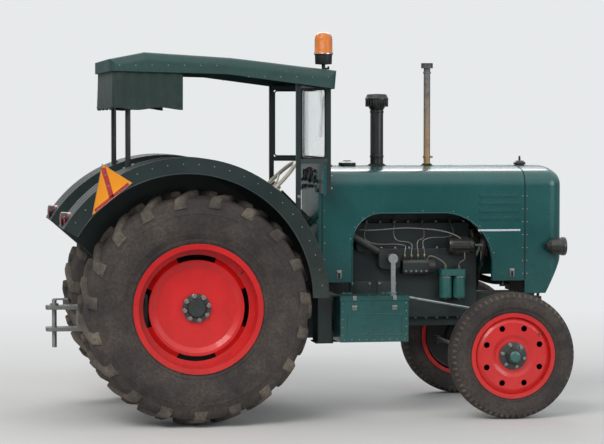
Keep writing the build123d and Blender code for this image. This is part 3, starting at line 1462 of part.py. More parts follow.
with BuildPart() as rear_posts:
    post_x = ahead(POST_X)
    post_top = roof_height(post_x - POST_R, ROOF_T) - SEAT_GAP
    for side_name, side in SIDES:
        rod((post_x, side * POST_Y, GUARD_Z + POST_LOW), (post_x, side * POST_Y, post_top), POST_R)
        clear_of_guard((side * (POST_Y - 40), side * (POST_Y + 40)))
finish(rear_posts, "rear_posts")

with BuildPart() as beacon:
    beacon_plane = Plane(
        origin=(ahead(BEACON_X), -BEACON_Y, 0), x_dir=(1, 0, 0), z_dir=(0, -1, 0)
    )
    stem_low = roof_height(ahead(BEACON_X) - BEACON_STEM_R, 0) + SEAT_GAP
    base_low = stem_low + BEACON_STEM
    dome_low = base_low + BEACON_BASE_H
    beacon_top = base_low + BEACON_H
    turn(
        beacon_plane,
        [
            (0, stem_low),
            (BEACON_STEM_R, stem_low),
            (BEACON_STEM_R, base_low),
            (BEACON_R - 8, base_low),
            (BEACON_R - 4, dome_low),
            (BEACON_R, dome_low),
            (BEACON_R - 4, beacon_top - 40),
            (BEACON_R - 18, beacon_top - 12),
            (BEACON_R - 40, beacon_top),
            (0, beacon_top),
        ],
    )
finish(beacon, "beacon")

# Steering column and wheel

WHEEL_PLANE = Plane(origin=wheel_hub, x_dir=(0, 1, 0), z_dir=column_dir)
with BuildPart() as steering_column:
    rod(column_foot, wheel_hub - column_dir * 70, COLUMN_R)
    rod(
        wheel_hub - column_dir * 160,
        wheel_hub - column_dir * 60,
        COLUMN_SHAFT_R + RUN_GAP,
        Mode.SUBTRACT,
    )
finish(steering_column, "steering_column")

with BuildPart() as steering_wheel:
    rim_plane = Plane(origin=wheel_hub, x_dir=(0, 1, 0), z_dir=Vector(0, 1, 0).cross(column_dir))
    with BuildSketch(rim_plane):
        with Locations((WHEEL_R - WHEEL_RIM_R, 0)):
            Circle(WHEEL_RIM_R)
    revolve(axis=Axis(wheel_hub, column_dir))
    rod(wheel_hub - column_dir * 50, wheel_hub + column_dir * 8, 30)
    rod(wheel_hub - column_dir * 150, wheel_hub, COLUMN_SHAFT_R)
    for spoke in range(3):
        angle = radians(90 + 120 * spoke)
        outward = WHEEL_PLANE.x_dir * cos(angle) + WHEEL_PLANE.y_dir * sin(angle)
        rod(
            wheel_hub - column_dir * 25 + outward * 20,
            wheel_hub + outward * (WHEEL_R - WHEEL_RIM_R),
            7,
        )
finish(steering_wheel, "steering_wheel")

# Seat: bracket, pan, cushion and back

SEAT_MID = ahead(SEAT_X)
PAN_TOP = SEAT_TOP - SEAT_CUSHION_T - SEAT_GAP
with BuildPart() as seat_frame:
    post_x, post_y = [(-width / 2, width / 2) for width in SEAT_POST]
    block((SEAT_MID + post_x[0], SEAT_MID + post_x[1]), post_y, (HOUSING_HIGH, PAN_TOP - SEAT_PAN_T))
    pan_x = (SEAT_MID - SEAT_PAN_HALF, SEAT_MID + SEAT_PAN_HALF)
    pan_half = SEAT_W / 2
    block(pan_x, (-pan_half, pan_half), (PAN_TOP - SEAT_PAN_T, PAN_TOP))
    block(
        (pan_x[0] - SEAT_PAN_T, pan_x[0]),
        (-pan_half, pan_half),
        (PAN_TOP - SEAT_PAN_T, SEAT_TOP + SEAT_BACK_H),
    )
    for side_name, side in SIDES:
        block(
            (pan_x[0] - SEAT_PAN_T, pan_x[0] + ARMREST),
            (side * pan_half, side * (pan_half + SEAT_PAN_T)),
            (PAN_TOP - SEAT_PAN_T, SEAT_TOP + ARMREST_H),
        )
finish(seat_frame, "seat_frame")

with BuildPart() as seat_cushion:
    block(
        (pan_x[0] + BACK_CUSHION_T + SEAT_EDGE, pan_x[1]),
        (-pan_half + SEAT_EDGE, pan_half - SEAT_EDGE),
        (PAN_TOP + SEAT_GAP, SEAT_TOP),
    )
    fillet(seat_cushion.edges().filter_by(Axis.Z), radius=CUSHION_R)
finish(seat_cushion, "seat_cushion")

with BuildPart() as back_cushion:
    block(
        (pan_x[0] + SEAT_GAP, pan_x[0] + BACK_CUSHION_T),
        (-pan_half + BACK_CUSHION_EDGE, pan_half - BACK_CUSHION_EDGE),
        (SEAT_TOP + SEAT_EDGE, SEAT_TOP + SEAT_BACK_H - SEAT_EDGE),
    )
    fillet(back_cushion.edges().filter_by(Axis.X), radius=CUSHION_R)
finish(back_cushion, "back_cushion")

# Trailer coupling

JAW_BACK = ahead(-REACH_BACK)
with BuildPart() as hitch:
    plate_y = (-HITCH_PLATE_HALF, HITCH_PLATE_HALF)
    block((HOUSING_FACE - HITCH_PLATE_T, HOUSING_FACE), plate_y, HITCH_PLATE_Z)
    block(
        (ahead(-JAW_X), HOUSING_FACE),
        (-HITCH_NECK / 2, HITCH_NECK / 2),
        (JAW_LOW + HITCH_NECK_DROP, JAW_HIGH - HITCH_NECK_DROP),
    )
    block((JAW_BACK, ahead(-JAW_X)), (-JAW_W / 2, JAW_W / 2), (JAW_LOW, JAW_HIGH))
    fillet(hitch.faces().sort_by(Axis.X)[0].edges().filter_by(Axis.Z), radius=JAW_EDGE_R)
    block(
        (JAW_BACK - 1, JAW_BACK + JAW_DEPTH),
        (-JAW_W / 2 - 1, JAW_W / 2 + 1),
        (JAW_LOW + JAW_PLATE, JAW_HIGH - JAW_PLATE),
        Mode.SUBTRACT,
    )
    pin_x = JAW_BACK + HITCH_PIN_BACK
    rod((pin_x, 0, JAW_LOW - 1), (pin_x, 0, JAW_HIGH + 1), HITCH_PIN_R + RUN_GAP, Mode.SUBTRACT)
finish(hitch, "hitch")

with BuildPart() as hitch_pin:
    pin_top = JAW_HIGH + HITCH_PIN_RISE
    rod((pin_x, 0, HITCH_PIN_LOW), (pin_x, 0, pin_top), HITCH_PIN_R)
    collar_r = HITCH_PIN_R + HITCH_COLLAR[0]
    rod((pin_x, 0, JAW_HIGH), (pin_x, 0, JAW_HIGH + HITCH_COLLAR[1]), collar_r)
    handle_half = HITCH_HANDLE_T / 2
    block(
        (pin_x - HITCH_HANDLE_X[0], pin_x + HITCH_HANDLE_X[1]),
        (-handle_half, handle_half),
        (pin_top - handle_half, pin_top + handle_half),
    )
finish(hitch_pin, "hitch_pin")

# Warning triangle on the right mudguard and lamps behind both; its corners are an angle
# on the mudguard's circle and a distance outside it

with BuildPart() as warning_sign:
    side_panel(
        [guard_point(angle, GUARD_R + out) for angle, out in SIGN_CORNERS],
        (-GUARD_OUT_Y - SIGN_T, -GUARD_OUT_Y),
    )
finish(warning_sign, "warning_sign")

with BuildPart() as rear_lamps:
    seat_x, lamp_z = guard_point(LAMP_ANGLE)
    for side_name, side in SIDES:
        lamp_y = side * REAR_LAMP_Y
        rod(
            (seat_x - REAR_LAMP_OUT, lamp_y, lamp_z),
            (seat_x + 2 * REAR_LAMP_R, lamp_y, lamp_z),
            REAR_LAMP_R,
        )
        clear_of_guard((lamp_y - REAR_LAMP_R - 5, lamp_y + REAR_LAMP_R + 5))
finish(rear_lamps, "rear_lamps")
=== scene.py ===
from math import acos, atan2, cos, exp, hypot, pi, radians, sin

import bmesh
import bpy
from mathutils import Matrix, Vector
from mathutils.bvhtree import BVHTree


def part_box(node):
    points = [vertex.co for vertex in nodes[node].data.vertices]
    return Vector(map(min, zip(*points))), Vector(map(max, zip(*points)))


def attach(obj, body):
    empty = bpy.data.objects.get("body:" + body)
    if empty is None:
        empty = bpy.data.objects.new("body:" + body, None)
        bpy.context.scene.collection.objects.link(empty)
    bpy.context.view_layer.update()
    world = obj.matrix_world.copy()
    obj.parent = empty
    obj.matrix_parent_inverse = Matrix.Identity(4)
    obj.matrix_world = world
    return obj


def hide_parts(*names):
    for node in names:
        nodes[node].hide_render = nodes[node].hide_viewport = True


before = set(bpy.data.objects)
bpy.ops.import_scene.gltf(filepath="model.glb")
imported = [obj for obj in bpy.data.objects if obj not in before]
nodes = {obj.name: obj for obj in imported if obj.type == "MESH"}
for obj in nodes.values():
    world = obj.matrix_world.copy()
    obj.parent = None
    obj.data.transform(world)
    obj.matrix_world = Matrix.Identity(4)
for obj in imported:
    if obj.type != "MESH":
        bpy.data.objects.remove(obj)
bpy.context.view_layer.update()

# Looks of a farm tractor. Metres. X points forward, Y to the left, Z up, the ground is Z = 0.

SIDES = (("left", 1), ("right", -1))
BOTH = (-1, 1)
UP, DOWN, FORWARD, BACKWARD, RIGHTWARD = (Vector(way) for way in (
    (0, 0, 1), (0, 0, -1), (1, 0, 0), (-1, 0, 0), (0, -1, 0)))


def middle(node):
    """Middle of a node's box."""
    low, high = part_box(node)
    return (low + high) / 2


REAR = middle("rear_wheel_right")
FRONT = middle("front_wheel_right")


def ahead(x):
    """Place along X of a point that lies x ahead of the rear axle line."""
    return REAR.x + x


def across(x, y, z):
    """Point that lies x ahead of the rear axle line."""
    return Vector((ahead(x), y, z))


SCREEN_X = ahead(0.900)
DASH_X = ahead(0.850)
STACK_X = ahead(1.300)
PIPE_X = ahead(1.640)
HOOD_BACK_X, HOOD_SEAM_X = ahead(0.8735), ahead(2.226)
HOOD_HALF, HOOD_TOP = 0.330, 1.606
SCREEN_LOW, SCREEN_HIGH = 1.660, 2.110
FLOOR_TOP = 0.800
GUARD_CENTER, GUARD_R = across(-0.070, 0, 0.790), 0.885

# Meshes


class Shape:
    """Mesh under construction, in metres in the row frame."""

    def __init__(self):
        self.mesh = bmesh.new()

    def skin(self, rows, around=False, along=False, caps=False):
        """Quads over rows of points. around closes each row, along joins the last row to the first."""
        grid = [[self.mesh.verts.new(point) for point in row] for row in rows]
        for low, high in zip(grid, grid[1:] + (grid[:1] if along else [])):
            count = len(low)
            for index in range(count if around else count - 1):
                after = (index + 1) % count
                self.mesh.faces.new((low[index], low[after], high[after], high[index]))
        if caps:
            self.mesh.faces.new(tuple(reversed(grid[0])))
            self.mesh.faces.new(tuple(grid[-1]))
        return self

    def lathe(self, outline, origin, axis, steps=32, closed=False):
        """Outline of (radius, distance along the axis) turned about an axis."""
        origin, axis = Vector(origin), Vector(axis).normalized()
        side = axis.orthogonal().normalized()
        other = axis.cross(side)
        rows = []
        for step in range(steps):
            angle = 2 * pi * step / steps
            out = side * cos(angle) + other * sin(angle)
            rows.append([origin + out * radius + axis * distance for radius, distance in outline])
        return self.skin(rows, around=closed, along=True)

    def hoop(self, at, axis, inner, outer, width, steps=32, bevel=0.001):
        """Flat hoop round an axis."""
        outline = [(inner, 0), (outer, bevel), (outer, width - bevel), (inner, width)]
        return self.lathe(outline, at, axis, steps, closed=True)

    def tube(self, points, radius, steps=8, closed=False):
        """Round tube along points; radius is one value or one per point."""
        points = [Vector(point) for point in points]
        count = len(points)
        radii = radius if hasattr(radius, "__len__") else [radius] * count
        side = None
        rows = []
        for index, point in enumerate(points):
            back = points[index - 1] if closed or index else point
            on = points[(index + 1) % count] if closed or index < count - 1 else point
            run = (on - back).normalized()
            side = run.orthogonal().normalized() if side is None else side
            side = (side - run * side.dot(run)).normalized()
            rows.append([point + out * radii[index] for out in circle(side, run.cross(side), steps)])
        return self.skin(rows, around=True, along=closed, caps=not closed)

    def rod(self, start, end, radius, steps=16, edge=0.0):
        """Round bar between two points with chamfered ends."""
        start, end = Vector(start), Vector(end)
        length = (end - start).length
        outline = [(0.0, 0.0), (radius - edge, 0.0), (radius, edge)]
        outline += [(radius, length - edge), (radius - edge, length), (0.0, length)]
        return self.lathe(outline, start, end - start, steps)

    def box(self, low, high, edge=0.0, turn=None, segments=2):
        """Box between two corners, its edges rounded, turned about its middle."""
        low, high = Vector(low), Vector(high)
        made = bmesh.new()
        bmesh.ops.create_cube(made, size=1.0)
        bmesh.ops.scale(made, vec=[abs(v) for v in high - low], verts=made.verts)
        if edge:
            bmesh.ops.bevel(
                made, geom=list(made.edges), offset=edge, segments=segments, profile=0.5, affect="EDGES"
            )
        if turn is not None:
            bmesh.ops.transform(made, matrix=turn.to_4x4(), verts=made.verts)
        bmesh.ops.translate(made, vec=(low + high) / 2, verts=made.verts)
        return self.take(made)

    def block(self, at, reach, edge=0.0, turn=None):
        """Box that reaches equally far to each side of its middle."""
        at, reach = Vector(at), Vector(reach)
        return self.box(at - reach, at + reach, edge, turn)

    def bolt(self, at, axis, wide=0.019, height=0.012, washer=0.003):
        """Hexagon bolt head on a washer."""
        plate, head, top = wide * 0.74, wide * 0.577, washer + height
        self.lathe([(0, 0), (plate, 0), (plate, washer * 0.7), (wide * 0.68, washer), (0, washer)], at, axis, 16)
        return self.lathe([(head, washer), (head, washer + height * 0.8), (head * 0.85, top), (0, top)], at, axis, 6)

    def dome(self, at, axis, radius=0.0045, height=0.0028, steps=10):
        """Round rivet or screw head."""
        curve = [(radius * cos(a), height * sin(a)) for a in (radians(30), radians(60))]
        return self.lathe([(radius, -0.001), (radius, 0), *curve, (0, height)], at, axis, steps)

    def take(self, other):
        """Add another mesh's geometry and free it."""
        data = bpy.data.meshes.new("part")
        other.to_mesh(data)
        other.free()
        self.mesh.from_mesh(data)
        bpy.data.meshes.remove(data)
        return self

    def placed(self, name, material):
        """Object that holds the mesh as it is."""
        data = bpy.data.meshes.new(name)
        self.mesh.to_mesh(data)
        self.mesh.free()
        if material:
            data.materials.append(material)
        piece = bpy.data.objects.new(name, data)
        bpy.context.scene.collection.objects.link(piece)
        return piece

    def done(self, name, material, body="chassis", smooth=40.0, slot=None, replaces=None, merge=True):
        """Clean the mesh and make it a piece that rides on a body; the slot argument is not used."""
        if merge:
            bmesh.ops.remove_doubles(self.mesh, verts=self.mesh.verts, dist=0.00005)
        bmesh.ops.dissolve_degenerate(self.mesh, edges=self.mesh.edges, dist=0.00001)
        bmesh.ops.recalc_face_normals(self.mesh, faces=self.mesh.faces)
        piece = self.placed(name, material)
        soften(piece, smooth)
        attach(piece, body)
        if replaces:
            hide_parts(replaces)
        return piece


def circle(side, other, steps, start=0.0):
    """Directions evenly spaced round a circle that two directions span."""
    angles = [start + 2 * pi * step / steps for step in range(steps)]
    return [side * cos(angle) + other * sin(angle) for angle in angles]


def soften(piece, angle):
    """Shade smooth across edges up to an angle in degrees."""
    piece.data.shade_smooth()
    piece.data.set_sharp_from_angle(angle=radians(angle))


def ring(center, axis, radius, count, start=0.0):
    """Points evenly spaced round an axis, with the direction outward at each."""
    axis = Vector(axis).normalized()
    side = UP if abs(axis.z) < 0.9 else FORWARD
    side = (side - axis * side.dot(axis)).normalized()
    return [(Vector(center) + out * radius, out) for out in circle(side, axis.cross(side), count, start)]


def rounded(places, radius, steps=4):
    """Points (u, v) of a rectangle's outline with round corners, from its low corner on."""
    (u0, v0), (u1, v1) = places
    points = []
    for u, v, start in ((u0 + radius, v0 + radius, 180), (u1 - radius, v0 + radius, 270),
                        (u1 - radius, v1 - radius, 0), (u0 + radius, v1 - radius, 90)):
        for step in range(steps + 1):
            angle = radians(start + 90 * step / steps)
            points.append((u + radius * cos(angle), v + radius * sin(angle)))
    return points


def smooth_path(points, steps=7):
    """Points of a rounded line through these ones."""
    pts = [Vector(p) for p in points]
    path = []
    for index in range(len(pts) - 1):
        before, after = pts[max(index - 1, 0)], pts[min(index + 2, len(pts) - 1)]
        start, end = pts[index], pts[index + 1]
        third = (end - start).length / 3
        lead, trail = start + (end - before).normalized() * third, end - (after - start).normalized() * third
        for step in range(steps):
            t = step / steps
            a, b, c, d = (1 - t) ** 3, 3 * t * (1 - t) ** 2, 3 * t * t * (1 - t), t ** 3
            path.append(start * a + lead * b + trail * c + end * d)
    return path + [pts[-1]]


def every(start, step, count):
    """Evenly spaced values."""
    return [start + step * index for index in range(count)]


# Materials


class Tree:
    """Shader nodes of a material or the world."""

    def __init__(self, owner):
        owner.use_nodes = True
        self.tree = owner.node_tree
        self.tree.nodes.clear()

    def add(self, kind, inputs=(), **settings):
        """Shader node with its settings, and a value or another node's output for each input."""
        node = self.tree.nodes.new(f"ShaderNode{kind}")
        for name, value in settings.items():
            setattr(node, name, value)
        self.feed(node, dict(inputs))
        return node

    def feed(self, node, inputs):
        for name, value in inputs.items():
            socket = node.inputs[name]
            if isinstance(value, bpy.types.NodeSocket):
                self.tree.links.new(value, socket)
            elif isinstance(value, tuple) and len(value) < len(socket.default_value):
                socket.default_value = (*value, 1.0)
            else:
                socket.default_value = value

    def math(self, kind, first, second):
        return self.add("Math", {0: first, 1: second}, operation=kind).outputs["Value"]

    def times(self, first, second):
        return self.math("MULTIPLY", first, second)

    def plus(self, first, second):
        return self.math("ADD", first, second)

    def spread(self, value, low, high, to_low=0.0, to_high=1.0):
        """Value from low to high mapped to another range, with its ends held."""
        ends = {"From Min": low, "From Max": high, "To Min": to_low, "To Max": to_high}
        return self.add("MapRange", {**ends, "Value": value}).outputs["Result"]


class Finish(Tree):
    """Procedural material. Texture places are the row frame in metres."""

    def __init__(self, name, roughness=0.5, metallic=0.0):
        self.material = bpy.data.materials.new(name)
        super().__init__(self.material)
        self.shader = self.add("BsdfPrincipled", {"Roughness": roughness, "Metallic": metallic})
        self.add("OutputMaterial", {"Surface": self.shader.outputs["BSDF"]})
        self.place = self.add("TexCoord").outputs["Object"]

    def noise(self, scale, detail=4.0, roughness=0.55, place=None):
        inputs = {"Scale": scale, "Detail": detail, "Roughness": roughness, "Vector": place or self.place}
        return self.add("TexNoise", inputs).outputs["Fac"]

    def waves(self, scale, direction):
        return self.add("TexWave", {"Scale": scale, "Vector": self.place}, bands_direction=direction).outputs["Fac"]

    def mix(self, amount, first, second):
        """Blend of two colours or colour outputs."""
        return self.add("Mix", {0: amount, 6: first, 7: second}, data_type="RGBA").outputs[2]

    def mottle(self, value, color, dark, pale=1.0):
        """Colour that a texture value darkens and lightens in patches."""
        return self.mix(self.spread(value, 0.3, 0.7), shade(color, dark), shade(color, pale))

    def height(self):
        """Height above the ground at rest."""
        return self.add("SeparateXYZ", {"Vector": self.place}).outputs["Z"]

    def normal(self):
        return self.add("NewGeometry").outputs["Normal"]

    def facing_up(self):
        """1 where the surface faces up, 0 where it faces sideways or down."""
        return self.spread(self.add("SeparateXYZ", {"Vector": self.normal()}).outputs["Z"], 0.1, 0.95)

    def rounded(self, radius):
        """Normal with sharp edges rounded off."""
        return self.add("Bevel", {"Radius": radius}, samples=4).outputs["Normal"]

    def edges(self, radius=0.004, power=14.0):
        """1 along sharp edges, 0 elsewhere."""
        sides = {0: self.rounded(radius), 1: self.normal()}
        same = self.add("VectorMath", sides, operation="DOT_PRODUCT").outputs["Value"]
        return self.spread(self.math("SUBTRACT", 1.0, same), 0.0, 1.0 / power)

    def bump(self, value, distance, strength, base=None):
        """Relief of a texture value, in metres from low to high."""
        inputs = {"Strength": strength, "Distance": distance, "Height": value}
        if base is not None:
            inputs["Normal"] = base
        return self.add("Bump", inputs).outputs["Normal"]

    def made(self, **values):
        """The material, its shader given colours, values or node outputs by socket name."""
        self.feed(self.shader, {name.replace("_", " "): value for name, value in values.items()})
        return self.material


def tone(*display):
    """Linear colour of a colour picked as 0 to 255 display values."""
    shares = [value / 255 for value in display]
    return tuple(share / 12.92 if share <= 0.04045 else ((share + 0.055) / 1.055) ** 2.4 for share in shares)


def shade(color, share):
    return tuple(value * share for value in color)


DUST = tone(142, 131, 112)
PRIMER = tone(96, 84, 78)
RUST = tone(98, 58, 38)
WORN_RED = tone(110, 26, 20)
WORN_BLACK = tone(60, 58, 56)


def paint(name, color, worn=PRIMER, roughness=0.28, dust=0.5, low=0.35, high=1.5, coat=0.4):
    """Old gloss paint: faded patches, dust that thickens low down and on ledges, chipped edges."""
    finish = Finish(name)
    patches = finish.noise(2.3, 5.0, 0.6)
    stretched = finish.add("Mapping", {"Scale": (1.0, 1.0, 0.18), "Vector": finish.place}).outputs["Vector"]
    streaks = finish.noise(9.0, 4.0, 0.6, stretched)
    grain = finish.noise(38.0, 6.0, 0.7)
    faded = tuple(min(1.0, value * 1.14 + 0.002) for value in color)
    base = finish.mix(finish.spread(patches, 0.3, 0.7), shade(color, 0.84), faded)
    base = finish.mix(finish.spread(streaks, 0.5, 0.8, 0.0, 0.3), base, shade(color, 0.6))
    lowness = finish.spread(finish.height(), high, low)
    settled = finish.plus(finish.times(lowness, 0.8), finish.times(finish.facing_up(), 0.45))
    cover = finish.times(finish.times(settled, finish.spread(grain, 0.36, 0.66, 0.25, 1.0)), dust)
    broken = finish.spread(finish.noise(55.0, 5.0, 0.7), 0.52, 0.6)
    chip = finish.times(finish.times(finish.edges(), broken), 0.6)
    rough = finish.spread(patches, 0.3, 0.7, roughness * 0.8, roughness * 1.3)
    rough = finish.plus(finish.plus(rough, finish.times(cover, 0.6)), finish.times(chip, 0.3))
    rippled = finish.bump(finish.noise(9.0, 1.0, 0.4), 0.00075, 0.35, finish.rounded(0.003))
    return finish.made(
        Base_Color=finish.mix(chip, finish.mix(cover, base, DUST), worn), Roughness=rough,
        Normal=finish.bump(grain, 0.00025, 0.5, rippled), Specular_IOR_Level=0.5,
        Coat_Weight=coat, Coat_Roughness=0.08,
    )


def rubber(name, color=tone(50, 46, 46), dusty=tone(104, 94, 86), dust=0.62):
    """Tyre rubber with dried mud and dust in patches; the lighter copy on raised faces is partly dust and partly
    painted highlight.
    """
    finish = Finish(name, 0.86)
    patches = finish.noise(5.0, 6.0, 0.65)
    grain = finish.noise(60.0, 5.0, 0.7)
    fine = finish.noise(420.0, 3.0, 0.6)
    cover = finish.times(finish.spread(patches, 0.34, 0.68), finish.spread(grain, 0.3, 0.62, 0.3, 1.0))
    relief = finish.bump(grain, 0.0022, 0.6, finish.rounded(0.004))
    return finish.made(
        Base_Color=finish.mix(finish.times(cover, dust), finish.mottle(grain, color, 0.7), dusty),
        Roughness=finish.spread(patches, 0.3, 0.7, 0.74, 0.95),
        Normal=finish.bump(fine, 0.0005, 0.5, relief), Specular_IOR_Level=0.35,
    )


def metal(name, color, roughness=0.35, stain=RUST, amount=0.3, scale=18.0, grain=0.0002):
    """Bare metal, stained in patches."""
    finish = Finish(name, roughness, 1.0)
    patches = finish.noise(scale, 6.0, 0.7)
    fine = finish.noise(240.0, 3.0, 0.6)
    spots = finish.times(finish.spread(patches, 0.46, 0.62), amount)
    relief = finish.bump(patches, grain * 3, 0.5, finish.rounded(0.0025))
    return finish.made(
        Base_Color=finish.mix(spots, finish.mottle(fine, color, 0.82), stain),
        Roughness=finish.plus(finish.spread(fine, 0.2, 0.8, roughness * 0.8, roughness * 1.25), spots),
        Metallic=finish.math("SUBTRACT", 1.0, spots), Normal=finish.bump(fine, grain, 0.6, relief),
    )


def casting(name, color, rough, oil):
    """Cast iron under old paint, pitted, with dust above, oil below and a painted highlight along sharp edges."""
    finish = Finish(name, rough)
    patches = finish.noise(6.0, 6.0, 0.7)
    pits = finish.noise(150.0, 4.0, 0.7)
    cover = finish.times(finish.facing_up(), finish.spread(patches, 0.3, 0.6, 0.2, 0.6))
    oily = finish.times(finish.spread(finish.noise(4.0, 3.0), 0.5, 0.62), oil)
    # Sharp edges lighten towards 1.9 times the paint colour: a painted highlight.
    base = finish.mix(finish.times(finish.edges(), 0.45), finish.mottle(patches, color, 0.6), shade(color, 1.9))
    relief = finish.bump(pits, 0.0008, 0.6, finish.rounded(0.006))
    return finish.made(
        Base_Color=finish.mix(oily, finish.mix(cover, base, DUST), tone(20, 18, 16)),
        Roughness=finish.math("SUBTRACT", rough, finish.times(oily, 0.4)),
        Normal=finish.bump(patches, 0.002, 0.3, relief),
    )


def plastic(name, color, roughness):
    """Moulded plastic with a faint grain and handling marks."""
    finish = Finish(name, roughness)
    patches = finish.noise(12.0, 5.0, 0.6)
    grain = finish.noise(380.0, 3.0, 0.6)
    return finish.made(
        Base_Color=finish.mottle(patches, color, 0.8),
        Roughness=finish.spread(patches, 0.3, 0.7, roughness * 0.8, roughness * 1.2),
        Normal=finish.bump(grain, 0.0002, 0.6, finish.rounded(0.002)),
    )


def lens(name, color, ribs, direction="Z"):
    """Ribbed lamp lens."""
    finish = Finish(name, 0.12)
    haze = finish.noise(20.0, 4.0)
    return finish.made(
        Base_Color=finish.mottle(haze, color, 0.8), Roughness=finish.spread(haze, 0.3, 0.7, 0.1, 0.26),
        Normal=finish.bump(finish.waves(ribs, direction), 0.0015, 0.7), Coat_Weight=0.5,
    )


def exhaust_tube(name):
    """Galvanised tube, yellowed and rusty where it is hot, low down."""
    finish = Finish(name, 0.5, 0.6)
    patches = finish.noise(16.0, 6.0, 0.7)
    hot, soot = finish.spread(finish.height(), 2.2, 1.62), finish.spread(finish.height(), 2.2, 2.29, 0.0, 0.7)
    base = finish.mix(hot, tone(120, 122, 124), tone(172, 142, 104))
    base = finish.mix(finish.spread(patches, 0.48, 0.68, 0.0, 0.6), base, tone(84, 58, 42))
    return finish.made(
        Base_Color=finish.mix(soot, base, tone(40, 38, 37)),
        Roughness=finish.spread(patches, 0.3, 0.7, 0.4, 0.7), Normal=finish.bump(patches, 0.0015, 0.5),
    )


def clear_glass(name):
    finish = Finish(name, 0.03)
    haze = finish.noise(7.0, 5.0, 0.6)
    return finish.made(
        Base_Color=finish.mix(haze, (0.86, 0.93, 0.92), (0.93, 0.97, 0.96)),
        Roughness=finish.spread(haze, 0.4, 0.7, 0.02, 0.12), Transmission_Weight=1.0, IOR=1.05, Alpha=0.35,
    )


def vinyl(name, color):
    """Black coated seat cloth with a leather grain, creased and worn pale where it is sat on."""
    finish = Finish(name, 0.5)
    grain = finish.add("TexVoronoi", {"Scale": 330.0, "Vector": finish.place}).outputs["Distance"]
    creases = finish.noise(13.0, 5.0, 0.65)
    worn = finish.spread(finish.noise(6.0, 4.0), 0.45, 0.75, 0.0, 0.5)
    return finish.made(
        Base_Color=finish.mix(worn, color, tone(74, 70, 66)),
        Roughness=finish.spread(creases, 0.3, 0.7, 0.38, 0.6),
        Normal=finish.bump(grain, 0.0005, 0.6, finish.bump(creases, 0.004, 0.35)),
    )


def canvas(name, color):
    """Coated canvas: a plain weave, faded in patches and stained."""
    finish = Finish(name, 0.8)
    weave = finish.times(finish.waves(260.0, "Z"), finish.waves(260.0, "Y"))
    patches = finish.noise(3.5, 5.0, 0.6)
    stains = finish.spread(finish.noise(11.0, 5.0, 0.65), 0.5, 0.72, 0.0, 0.35)
    return finish.made(
        Base_Color=finish.mix(stains, finish.mottle(patches, color, 0.7, 1.2), tone(70, 72, 62)),
        Roughness=finish.spread(patches, 0.3, 0.7, 0.66, 0.9), Sheen_Weight=0.15,
        Normal=finish.bump(weave, 0.0006, 0.5),
    )


paint_green = paint("paint_green", tone(0, 78, 77), roughness=0.24, dust=0.12, high=1.2)
# The mudguards' and windscreen frame's green is a much darker copy of the body's green paint: painted shade.
guard_green_painted_shade = paint("guard_green_painted_shade", tone(2, 30, 29), roughness=0.42, dust=0.14, low=0.6, coat=0.2)
roof_green = paint("roof_green", tone(0, 60, 58), roughness=0.56, dust=0.15, low=2.0, high=2.6, coat=0.0)
hub_green = paint("hub_paint", tone(14, 32, 34), RUST, 0.4, dust=0.2, low=0.0, high=1.4)
wheel_red = paint("paint_red", tone(206, 0, 8), WORN_RED, 0.36, dust=0.16, low=0.0, high=1.0)
black_paint = paint("black_paint", tone(12, 13, 14), WORN_BLACK, 0.42, dust=0.14)
white_trim = paint("white_trim", tone(206, 216, 224), roughness=0.3, dust=0.2)
sign_yellow = paint("sign_face", tone(240, 150, 20), roughness=0.3, dust=0.1)
filter_green = paint("filter_green", tone(10, 92, 88), RUST, 0.34, dust=0.2)
tyre_rubber = rubber("tyre_rubber")
# Lugs and shoulder blocks take a lighter, dustier copy of the tyre rubber: partly dust, partly a painted highlight.
lug_rubber_dust_and_highlight = rubber("lug_rubber_dust_and_highlight", tone(66, 60, 57), tone(134, 123, 110), 0.85)
hose_rubber = rubber("hose_rubber", tone(26, 25, 25), tone(88, 82, 72), 0.35)
iron_dark = casting("cast_iron", tone(58, 48, 42), 0.75, 0.3)
engine_paint = casting("engine_paint", tone(30, 44, 44), 0.62, 0.6)
bright_steel = metal("bare_steel", tone(168, 174, 176), 0.4, RUST, 0.35)
zinc = metal("zinc", tone(150, 152, 150), 0.45, tone(104, 88, 70), 0.3, 30.0)
chrome = metal("chrome", tone(214, 216, 218), 0.12, tone(120, 110, 100), 0.12, 26.0, 0.00005)
brass = metal("brass", tone(146, 130, 96), 0.35, tone(74, 62, 46), 0.4, 30.0)
exhaust_steel = exhaust_tube("exhaust_steel")
screen_glass = clear_glass("screen_glass")
amber_lens = lens("amber_lens", tone(238, 128, 22), 60.0)
red_lens = lens("red_lens", tone(176, 14, 14), 60.0)
clear_lens = lens("clear_lens", tone(206, 210, 208), 70.0, "Y")
ivory = plastic("wheel_plastic", tone(206, 200, 182), 0.3)
black_plastic = plastic("black_plastic", tone(26, 26, 27), 0.45)
seat_vinyl = vinyl("seat_vinyl", tone(34, 33, 33))
curtain_cloth = canvas("curtain_cloth", tone(26, 50, 46))

# Finish of each CAD node; a name stands for its left and right nodes too

